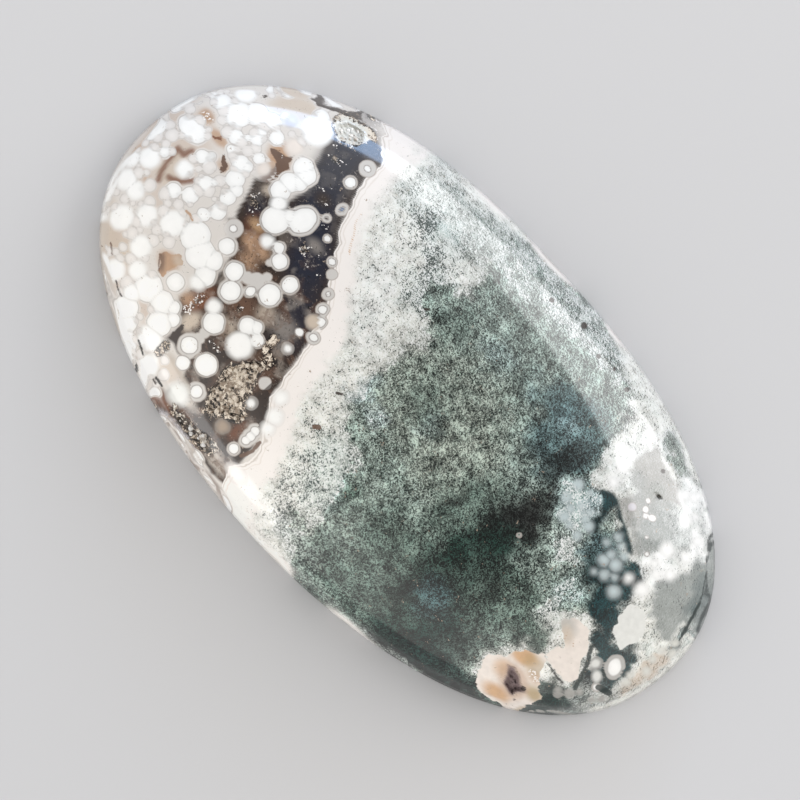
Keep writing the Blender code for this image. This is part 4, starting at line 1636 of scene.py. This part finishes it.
@dataclass
class Hollows:
    """The hollows in the dome, where the polish stops.

    Attributes:
        shapes: Name, depth and corners of each.
        lump_share: How lumpy the floors are, against the depth.
        wall: Width of the sloping edge.
    """

    shapes: str = """
    druse 0.32: -7.9 -4.8, -8.2 -5.6, -8.6 -6.3, -8.3 -7, -8.35 -7.8, -7.9 -8.6,
        -7.4 -9.1, -6.95 -8.6, -6.4 -8.2, -5.7 -8.1, -5.6 -7.5, -6.2 -7.35, -6.4 -6.9,
        -6.6 -6.2, -6.9 -5.4, -7.1 -4.6;
    shoulder_druse 0.26: -8.6 -10.35, -7.9 -10.15, -7.1 -10.2, -6.6 -9.95, -6.2 -9.9,
        -6 -10.3, -5.6 -10.5, -5.8 -10.85, -6.5 -10.75, -7.2 -10.85, -8 -10.8,
        -8.55 -10.7;
    crest_druse 0.26: -14.8 8.2, -14.5 7.75, -14 7.6, -13.6 7.85, -13.1 8.05,
        -13.05 8.6, -13.4 9.05, -14 8.95, -14.5 8.75;
    ochre_pit 0.42: 15.7 -6.05, 16.15 -5.85, 16.6 -5.95, 16.9 -6.3, 17.3 -6.1,
        17.4 -6.4, 17.15 -6.65, 17.1 -7.05, 16.7 -7, 16.2 -6.95, 16.05 -6.5;
    round_pit 0.36: 14.42 7.3, 14.3 7.48, 14.1 7.48, 13.98 7.3, 14.1 7.12, 14.3 7.12
    """
    lump_share: float = 0.3
    wall: float = 0.1

    def __post_init__(self) -> None:
        """Read the edges and depths."""
        self.edges: dict[str, tuple[Points, float]] = {
            name: (path(corners), float(depth))
            for (name, depth), corners in rows(self.shapes)
        }

    def draw(self, canvas: Canvas) -> tuple[np.ndarray, np.ndarray]:
        """Distance to the nearest hollow and the depth there.

        Args:
            canvas: The stone's surface.

        Returns:
            The distance to the edge and the depth below the dome.
        """
        shapes = [Patch(edge) for edge, _ in self.edges.values()]
        depths = np.array([depth for _, depth in self.edges.values()] + [0.0])
        gap, owner, _ = canvas.nearest(shapes)
        lumps = 1.0 + self.lump_share * wander(canvas.x, canvas.y, 0.45, 4.0)
        inside = soft_step(gap + self.wall, self.wall)
        return gap, depths[owner] * inside * lumps


@dataclass
class PolishedStone:
    """The stone itself, its markings and its polish.

    Attributes:
        length: Along x.
        width: Along y.
        height: Along z.
        fullness: Power of the oval. 2 is an ellipse.
        lean: How far the oval leans to one side.
        three_lobe: Unevenness of the outline.
        bevel: Bevel round the back.
        wall_top: Height at which the dome begins.
        taper: How far the wall leans in below the dome.
        flatness: How flat the crown is.
        start: How steeply the dome leaves the wall.
        end_rounding: How fast the oval's ends close up.
        cells: Cells across the dome's grid.
        crowding: Above 1, how much closer the grid's rings lie at the rim.
        back_lap: How far in from the bevel the back's own grid starts.
        rings: Rings of the wall, as shares of it from below.
        bevel_part: Where the bevel's middle ring lies.
        bend: How far the markings wander down the side.
        fine: How far sharp markings wander.
        coarse: How far the moss wanders, in long and in short waves.
    """

    length: float = 45.0
    width: float = 24.3
    height: float = 6.0
    fullness: float = 2.245
    lean: float = 0.044
    three_lobe: float = 0.1
    bevel: float = 0.3
    wall_top: float = 1.7
    taper: float = 0.6
    flatness: float = 2.6
    start: float = 1.2
    end_rounding: float = 2.5
    cells: int = 260
    crowding: float = 1.12
    back_lap: float = 0.012
    rings: tuple[float, ...] = (0.75, 0.5, 0.25)
    bevel_part: float = 0.45
    bend: float = 2.2
    fine: float = 0.025
    coarse: tuple[float, float] = (0.3, 0.13)
    hollows: Hollows = field(default_factory=Hollows)

    def rim(self, count: int = 8192) -> np.ndarray:
        """The outline from above.

        Args:
            count: Number of points.

        Returns:
            The points, evenly spaced, from the right end round against the clock.
        """
        angle = np.linspace(0.0, 2.0 * np.pi, count, endpoint=False)
        power = 2.0 / self.fullness
        cos, sin = np.cos(angle), np.sin(angle)
        y = self.width / 2 * np.sign(sin) * np.abs(sin) ** power
        x = self.length / 2 * np.sign(cos) * np.abs(cos) ** power + self.lean * y
        bulge = self.three_lobe * np.sin(3.0 * np.arctan2(y, x)) / np.hypot(x, y)
        points = np.stack([x, y], 1) * (1.0 + bulge)[:, None]
        low, high = points.min(0), points.max(0)
        size = np.array([self.length, self.width])
        points = (points - (low + high) / 2) * size / (high - low)
        closed = np.vstack([points, points[:1]])
        run = np.concatenate([[0.0], np.cumsum(np.hypot(*np.diff(closed, axis=0).T))])
        even = np.linspace(0.0, run[-1], count, endpoint=False)
        return np.stack([np.interp(even, run, closed[:, k]) for k in (0, 1)], 1)

    def shares(self, inset: np.ndarray) -> tuple[np.ndarray, np.ndarray]:
        """Size of the ring at an inset, along and across, against the rim."""
        slim = self.width / self.length
        along = 1.0 - slim * inset - (1.0 - slim) * inset**self.end_rounding
        return along, 1.0 - inset

    def inset_at(self, x: np.ndarray, y: np.ndarray) -> np.ndarray:
        """How far in from the rim each place lies.

        Args:
            x: Places along the stone.
            y: Places across it.

        Returns:
            The inset, 0 at the rim and 1 in the middle.
        """
        rim = self.rim()
        turn = np.arctan2(rim[:, 1], rim[:, 0])
        order = np.argsort(turn)
        turn, radius = turn[order], np.hypot(*rim.T)[order]
        low, high = np.zeros_like(x), np.ones_like(x)
        for _ in range(34):
            middle = (low + high) / 2
            along, across = self.shares(middle)
            px = x / np.maximum(along, 1e-9)
            py = y / np.maximum(across, 1e-9)
            edge = np.interp(np.arctan2(py, px), turn, radius, period=2 * np.pi)
            inside = np.hypot(px, py) < edge
            low = np.where(inside, middle, low)
            high = np.where(inside, high, middle)
        return low

    def dome(self, x: np.ndarray, y: np.ndarray) -> np.ndarray:
        """Height of the dome above each place of the back.

        Args:
            x: Places along the stone.
            y: Places across it.

        Returns:
            The heights.
        """
        edge = self.taper / (self.width / 2)
        share = np.clip((self.inset_at(x, y) - edge) / (1.0 - edge), 0.0, 1.0)
        rise = 1.0 - (1.0 - share) ** self.flatness
        span = self.height - self.wall_top
        return self.wall_top + span * rise ** (1.0 / self.start)

    def square_grid(self, cells: int) -> tuple[np.ndarray, np.ndarray, np.ndarray]:
        """A square grid wrapped on rings of the oval.

        Args:
            cells: Cells along each side.

        Returns:
            The ring of each point, its share of the way round, and the numbers of
            the outermost points in order.
        """
        line = np.linspace(-1.0, 1.0, cells + 1)
        a, b = (v.ravel() for v in np.meshgrid(line, line, indexing="ij"))
        ring = np.maximum(np.abs(a), np.abs(b))
        safe = np.maximum(ring, 1e-9) * 8.0
        way = np.select(
            [a >= np.abs(b), b >= np.abs(a), -a >= np.abs(b)],
            [b / safe, 0.25 - a / safe, 0.5 - b / safe],
            0.75 + a / safe,
        )
        outer = np.nonzero(ring > 1.0 - 1e-9)[0]
        order = outer[np.argsort(np.round(way[outer] % 1.0, 9) % 1.0)]
        return ring, way % 1.0, order

    def on_ring(self, way: np.ndarray, inset: float) -> np.ndarray:
        """Points of the ring at an inset, by their share of the way round.

        Args:
            way: The shares, from 0 to 1.
            inset: How far in from the rim the ring lies.

        Returns:
            The points.
        """
        rim = self.rim()
        at = np.linspace(0.0, 1.0, len(rim) + 1)
        closed = np.vstack([rim, rim[:1]])
        along, across = self.shares(inset)
        x, y = (np.interp(way, at, closed[:, k]) for k in (0, 1))
        return np.stack([x * along, y * across], 1)

    def mesh_data(self) -> tuple[np.ndarray, list[tuple[int, ...]]]:
        """Points and faces of the closed stone.

        Returns:
            The points in millimetres, and the faces.
        """
        half = self.width / 2
        edge = self.taper / half
        ring, way, loop = self.square_grid(self.cells)
        reach = 1.0 - (1.0 - ring) ** self.crowding
        flat = self.on_ring(way, edge) * reach[:, None]
        x, y = flat.T
        z = self.dome(x, y)
        z[loop] = self.wall_top
        _, depth = self.hollows.draw(Canvas(x, y))
        blocks = [np.stack([x, y, z - depth], 1)]
        faces = self.grid_faces(self.cells, 0, False)
        count = len(x)
        rise = self.wall_top - self.bevel
        foot = self.bevel / half
        side = [(edge * share, self.bevel + rise * share) for share in self.rings]
        part = self.bevel_part
        side += [(0.0, self.bevel), (foot * part, self.bevel * part), (foot, 0.0)]
        last = loop
        for inset, level in side:
            place = self.on_ring(way[loop], inset)
            blocks.append(np.column_stack([place, np.full(len(loop), level)]))
            below = count + np.arange(len(loop))
            faces += self.strip(last, below)
            last, count = below, count + len(loop)
        back_ring, back_way, back_loop = self.square_grid(self.cells // 2)
        place = self.on_ring(back_way, foot + self.back_lap) * back_ring[:, None]
        blocks.append(np.column_stack([place, np.zeros(len(place))]))
        faces += self.grid_faces(self.cells // 2, count, True)
        faces += self.stitch(last, back_loop + count)
        return np.vstack(blocks), faces

    @staticmethod
    def grid_faces(cells: int, first: int, below: bool) -> list[tuple[int, ...]]:
        """Faces of a square grid, turned down where it lies below.

        Args:
            cells: Cells along each side.
            first: Number of its first point.
            below: Whether it is the back of the stone.

        Returns:
            The faces.
        """
        at = first + np.arange((cells + 1) ** 2).reshape(cells + 1, cells + 1)
        corners = [at[:-1, :-1], at[1:, :-1], at[1:, 1:], at[:-1, 1:]]
        quads = np.stack([c.ravel() for c in corners], 1)
        return [tuple(q) for q in (quads[:, ::-1] if below else quads).tolist()]

    @staticmethod
    def strip(upper: np.ndarray, lower: np.ndarray) -> list[tuple[int, ...]]:
        """Faces between two loops of the same length, seen from outside."""
        quads = np.stack([upper, lower, np.roll(lower, -1), np.roll(upper, -1)], 1)
        return [tuple(q) for q in quads.tolist()]

    @staticmethod
    def stitch(outer: np.ndarray, inner: np.ndarray) -> list[tuple[int, ...]]:
        """Faces of the back between a loop and one with half its points.

        Args:
            outer: The outer loop.
            inner: The inner one.

        Returns:
            The faces.
        """
        start, middle, end = outer[0::2], outer[1::2], np.roll(outer, -2)[0::2]
        after = np.roll(inner, -1)
        fans = [(start, inner, middle), (middle, inner, after), (middle, after, end)]
        return [tuple(face) for fan in fans for face in np.stack(fan, 1).tolist()]

    def markings(self, points: np.ndarray) -> dict[str, np.ndarray]:
        """Every field and colour that the markings need.

        Args:
            points: The stone's points in millimetres.

        Returns:
            The fields and colours by name.
        """
        x, y, z = points.T
        drop = np.clip(1.0 - z / self.wall_top, 0.0, 1.0)
        along = x + self.bend * drop * wander(x, y, 9.0, 1.0)
        across = y + self.bend * drop * wander(x, y, 9.0, 5.0)
        canvas = Canvas(
            along + self.fine * wander(x, y, 0.9, 2.0),
            across + self.fine * wander(x, y, 0.9, 3.0),
        )
        long, short = self.coarse
        rough = Canvas(
            along + long * wander(x, y, 2.1, 6.0) + short * wander(x, y, 0.7, 8.0),
            across + long * wander(x, y, 2.1, 7.0) + short * wander(x, y, 0.7, 9.0),
        )
        colours = GroundColours()
        made = {"ground": colours.draw(canvas, rough), **colours.fields(canvas)}
        made.update(OrbField().draw(canvas))
        marks = SharpMarks()
        made.update(marks.draw(canvas))
        made.update(marks.crust(canvas))
        made.update(MossGrowth().draw(rough, colours))
        gap, _ = self.hollows.draw(Canvas(x, y))
        made["hollow"] = np.where(z > self.wall_top, gap, 0.6)
        made["lapped"] = (z < 0.01).astype(float)
        return made

    def build(self) -> bpy.types.Object:
        """Build and dress the stone.

        Returns:
            The stone's object.
        """
        points, faces = self.mesh_data()
        mesh = bpy.data.meshes.new("polished_cabochon")
        mesh.from_pydata((points * MM).tolist(), [], faces)
        mesh.update()
        mesh.shade_smooth()
        for name, values in self.markings(points).items():
            if values.ndim == 1:
                layer = mesh.attributes.new(name, "FLOAT", "POINT")
                layer.data.foreach_set("value", values.astype(np.float32))
            else:
                layer = mesh.attributes.new(name, "FLOAT_VECTOR", "POINT")
                layer.data.foreach_set("vector", values.astype(np.float32).ravel())
        mesh.materials.append(PolishedAgate().material())
        stone = in_scene("polished_cabochon", mesh)
        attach(stone, "root")
        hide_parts("cabochon")
        return stone


class Growth(Enum):
    """The kinds of crystal lining, with the hollows that each one lines."""

    TAN = ("druse",)
    WHITE = ("shoulder_druse", "crest_druse")


@dataclass
class CrystalLining:
    """Small quartz points that stand on the floors of the hollows.

    Attributes:
        stone: The stone that holds them.
        growth: Which hollows they line.
        finish: Their finish.
        density: Points for each square millimetre.
        radius: Radius of a full-sized point.
        length: Length of a full-sized point.
        lean: Largest lean from upright, in degrees.
        sizes: Smallest and largest point, against a full-sized one.
        cell: Size of the bed's cells.
        margin: Bare margin of the bed.
        sink: How deep below the floor the bed lies.
        seed: Seed of their places and sizes.
    """

    stone: PolishedStone
    growth: Growth
    finish: QuartzPoints
    density: float = 9.0
    radius: float = 0.15
    length: float = 0.26
    lean: float = 58.0
    sizes: tuple[float, float] = (0.4, 1.15)
    cell: float = 0.1
    margin: float = 0.05
    sink: float = 0.01
    seed: int = 5

    def bed(self) -> bpy.types.Mesh:
        """The hollow floors on which the points stand.

        Returns:
            A mesh with a fine grid over each floor.
        """
        verts: list[tuple[float, float, float]] = []
        faces: list[tuple[int, ...]] = []
        for name in self.growth.value:
            corners, _ = self.stone.hollows.edges[name]
            x0, y0, x1, y1 = Patch(corners).reach()
            xs = np.arange(x0, x1 + self.cell, self.cell)
            ys = np.arange(y0, y1 + self.cell, self.cell)
            x, y = (v.ravel() for v in np.meshgrid(xs, ys, indexing="ij"))
            gap, depth = self.stone.hollows.draw(Canvas(x, y))
            z = self.stone.dome(x, y) - depth - self.sink
            first, across = len(verts), len(ys)
            verts += (np.stack([x, y, z], 1) * MM).tolist()
            keep = (gap < -self.margin).reshape(len(xs), len(ys))
            for i, j in zip(*np.nonzero(keep[:-1, :-1] & keep[1:, 1:])):
                at = first + int(i) * across + int(j)
                faces.append((at, at + across, at + across + 1, at + 1))
        mesh = bpy.data.meshes.new(f"{self.finish.name}_bed")
        mesh.from_pydata(verts, [], faces)
        return mesh

    def tree(self, material: bpy.types.Material) -> bpy.types.NodeTree:
        """The node tree that scatters the points.

        Args:
            material: The points' material.

        Returns:
            The tree, with named inputs for density, radius, length and lean.
        """
        name = f"{self.finish.name}_growth"
        tree = bpy.data.node_groups.new(name, "GeometryNodeTree")
        face = tree.interface
        face.new_socket("Geometry", in_out="INPUT", socket_type="NodeSocketGeometry")
        for name in ("Density", "Radius", "Length", "Lean"):
            face.new_socket(name, in_out="INPUT", socket_type="NodeSocketFloat")
        face.new_socket("Geometry", in_out="OUTPUT", socket_type="NodeSocketGeometry")

        add = partial(add_node, tree)
        give = add("NodeGroupInput").outputs
        spots = add(
            "GeometryNodeDistributePointsOnFaces",
            {"distribute_method": "RANDOM"},
            {"Mesh": give["Geometry"], "Density": give["Density"], "Seed": self.seed},
        )
        shaft = add(
            "GeometryNodeMeshCylinder",
            {"fill_type": "NONE"},
            {"Vertices": 6, "Radius": give["Radius"], "Depth": give["Length"]},
        )
        tip = add(
            "GeometryNodeMeshCone",
            {"fill_type": "NONE"},
            {
                "Vertices": 6,
                "Radius Top": 0.0,
                "Radius Bottom": give["Radius"],
                "Depth": give["Radius"],
            },
        )
        times = {"operation": "MULTIPLY"}
        half = add("ShaderNodeMath", times, {0: give["Length"], 1: 0.5})
        lift = add("ShaderNodeCombineXYZ", {}, {"Z": half.outputs[0]})
        raised = add(
            "GeometryNodeTransform",
            {},
            {"Geometry": tip.outputs[0], "Translation": lift.outputs[0]},
        )
        crystal = add("GeometryNodeJoinGeometry", {}, {"Geometry": raised.outputs[0]})
        tree.links.new(shaft.outputs[0], crystal.inputs[0])
        lean = give["Lean"]
        back = add("ShaderNodeMath", times, {0: lean, 1: -1.0})
        low = add("ShaderNodeCombineXYZ", {}, {0: back.outputs[0], 1: back.outputs[0]})
        high = add("ShaderNodeCombineXYZ", {}, {0: lean, 1: lean, 2: 2.0 * math.pi})
        tilt = add(
            "FunctionNodeRandomValue",
            {"data_type": "FLOAT_VECTOR"},
            {0: low.outputs[0], 1: high.outputs[0], "Seed": self.seed + 1},
        )
        size = add(
            "FunctionNodeRandomValue",
            {"data_type": "FLOAT"},
            {2: self.sizes[0], 3: self.sizes[1], "Seed": self.seed + 2},
        )
        placed = add(
            "GeometryNodeInstanceOnPoints",
            {},
            {
                "Points": spots.outputs["Points"],
                "Instance": crystal.outputs[0],
                "Rotation": tilt.outputs[0],
                "Scale": size.outputs[1],
            },
        )
        real = add("GeometryNodeRealizeInstances", {}, {0: placed.outputs[0]})
        dressed = add(
            "GeometryNodeSetMaterial", {}, {0: real.outputs[0], "Material": material}
        )
        add("NodeGroupOutput", {}, {0: dressed.outputs[0]})
        return tree

    def build(self) -> bpy.types.Object:
        """Grow the points as one plain mesh.

        Returns:
            The object that holds every point.
        """
        name = f"{self.finish.name}_points"
        piece = in_scene(name, self.bed())
        tree = self.tree(self.finish.material())
        grown = piece.modifiers.new("growth", "NODES")
        grown.node_group = tree
        given = {
            "Density": self.density / (MM * MM),
            "Radius": self.radius * MM,
            "Length": self.length * MM,
            "Lean": math.radians(self.lean),
        }
        for socket in tree.interface.items_tree:
            if socket.in_out == "INPUT" and socket.name in given:
                grown[socket.identifier] = given[socket.name]
        graph = bpy.context.evaluated_depsgraph_get()
        mesh = bpy.data.meshes.new_from_object(piece.evaluated_get(graph))
        piece.modifiers.clear()
        piece.data = mesh
        mesh.name = name
        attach(piece, "root")
        return piece


# ------------------------------------------------------------- the studio


@dataclass(frozen=True)
class Panel:
    """An upright light panel that stands round the stone.

    Attributes:
        name: Name of the light.
        right: Place of its right edge on the floor, in metres.
        left: Place of its left edge.
        low: Height of its lower edge.
        high: Height of its upper edge.
        radiance: How bright it looks.
        colour: Its colour.
    """

    name: str
    right: tuple[float, float]
    left: tuple[float, float]
    low: float
    high: float
    radiance: float
    colour: tuple[float, float, float] = (1.0, 1.0, 1.0)

    def build(self) -> None:
        """Stand the panel up so that it faces the stone."""
        right, left = Vector((*self.right, 0.0)), Vector((*self.left, 0.0))
        middle = (right + left) / 2
        along = (left - right).normalized()
        back = Vector((along.y, -along.x, 0.0))
        if back.dot(middle) < 0.0:
            along, back = -along, -back
        light = bpy.data.lights.new(self.name, "AREA")
        light.shape = "RECTANGLE"
        light.size, light.size_y = (left - right).length, self.high - self.low
        light.energy = self.radiance * math.pi * light.size * light.size_y
        light.color = self.colour
        lamp = in_scene(self.name, light)
        turn = Matrix((along, Vector((0.0, 0.0, 1.0)), back)).transposed().to_4x4()
        middle.z = (self.low + self.high) / 2
        lamp.matrix_world = Matrix.Translation(middle) @ turn


@dataclass
class Studio:
    """The floor, the light and the camera.

    Attributes:
        right: Where the picture's right side points on the stone.
        aim: The place of the stone under the camera, in millimetres.
        high: Height of the camera above the floor, in millimetres.
        frame: What the picture covers at the floor, in millimetres.
        floor_half: Half the floor's size, in metres.
        ambient: Light from the sides of the room and from right above.
        fade: How far up, from 0 to 1, the light starts and ends its change.
        warmth: Colour of the room's light.
        panels: The light panels.
    """

    right: tuple[float, float] = (0.674, 0.738)
    aim: tuple[float, float] = (-0.299, -0.123)
    high: float = 260.0
    frame: float = 47.87
    floor_half: float = 1.5
    ambient: tuple[float, float] = (1.43, 0.32)
    fade: tuple[float, float] = (0.55, 0.98)
    warmth: tuple[float, ...] = (1.0, 0.985, 0.955, 1.0)
    panels: tuple[Panel, ...] = (
        Panel("window", (0.307, 0.366), (-0.51, 1.57), 0.02, 0.459, 4.17),
        Panel(
            "blue_sky",
            (-0.464, 1.427),
            (-0.966, 0.87),
            0.02,
            0.42,
            8.0,
            (0.45, 0.66, 1.0),
        ),
        Panel("doorway", (0.035, -1.0), (-0.375, -0.927), 0.02, 0.25, 2.46),
    )

    def sky(self) -> None:
        """Light the room, bright at its sides and darker right above."""
        world = bpy.data.worlds.new("studio")
        world.use_nodes = True
        tree = world.node_tree
        way = add_node(tree, "ShaderNodeTexCoord").outputs["Generated"]
        split = add_node(tree, "ShaderNodeSeparateXYZ", sockets={0: way})
        change = enumerate((split.outputs["Z"], *self.fade, *self.ambient))
        smooth = {"interpolation_type": "SMOOTHSTEP"}
        fade = add_node(tree, "ShaderNodeMapRange", smooth, dict(change))
        shade = tree.nodes["Background"]
        shade.inputs["Color"].default_value = self.warmth
        tree.links.new(fade.outputs[0], shade.inputs["Strength"])
        bpy.context.scene.world = world

    def floor(self) -> None:
        """Lay the floor."""
        h = self.floor_half
        corners = [(-h, -h, 0), (h, -h, 0), (h, h, 0), (-h, h, 0)]
        mesh = bpy.data.meshes.new("floor")
        mesh.from_pydata(corners, [], [(0, 1, 2, 3)])
        mesh.materials.append(PalePaper().material())
        floor = in_scene("floor", mesh)

    def camera(self) -> None:
        """Hang the camera straight above the stone."""
        lens = bpy.data.cameras.new("camera")
        lens.sensor_fit = "HORIZONTAL"
        lens.angle = 2.0 * math.atan(self.frame / 2.0 / self.high)
        lens.clip_start = 0.005
        camera = in_scene("camera", lens)
        turn = math.atan2(self.right[1], self.right[0])
        place = Matrix.Translation(Vector((*self.aim, self.high)) * MM)
        camera.matrix_world = place @ Matrix.Rotation(turn, 4, "Z")
        bpy.context.scene.camera = camera

    def build(self) -> None:
        """Set up floor, light, view and camera."""
        self.sky()
        bpy.context.scene.view_settings.view_transform = "Standard"
        bpy.context.scene.view_settings.look = "None"
        self.floor()
        self.camera()
        for panel in self.panels:
            panel.build()


def main() -> None:
    """Build the picture piece by piece."""
    logging.basicConfig(level=logging.INFO, format="%(message)s")
    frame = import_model()
    log.info("frame: %s", ", ".join(frame["nodes"]))
    Studio().build()
    log.info("studio: floor, camera and light")
    stone = PolishedStone()
    piece = stone.build()
    log.info("%s: %d faces", piece.name, len(piece.data.polygons))
    tan = QuartzPoints("tan_quartz", Tint.KHAKI, Tint.MUD)
    white = QuartzPoints("white_quartz", Tint.WHITE, Tint.WARM_GREY)
    linings = (
        CrystalLining(stone, Growth.TAN, tan),
        CrystalLining(stone, Growth.WHITE, white, seed=9),
    )
    for lining in linings:
        piece = lining.build()
        log.info("%s: %d faces", piece.name, len(piece.data.polygons))


if __name__ == "__main__":
    main()
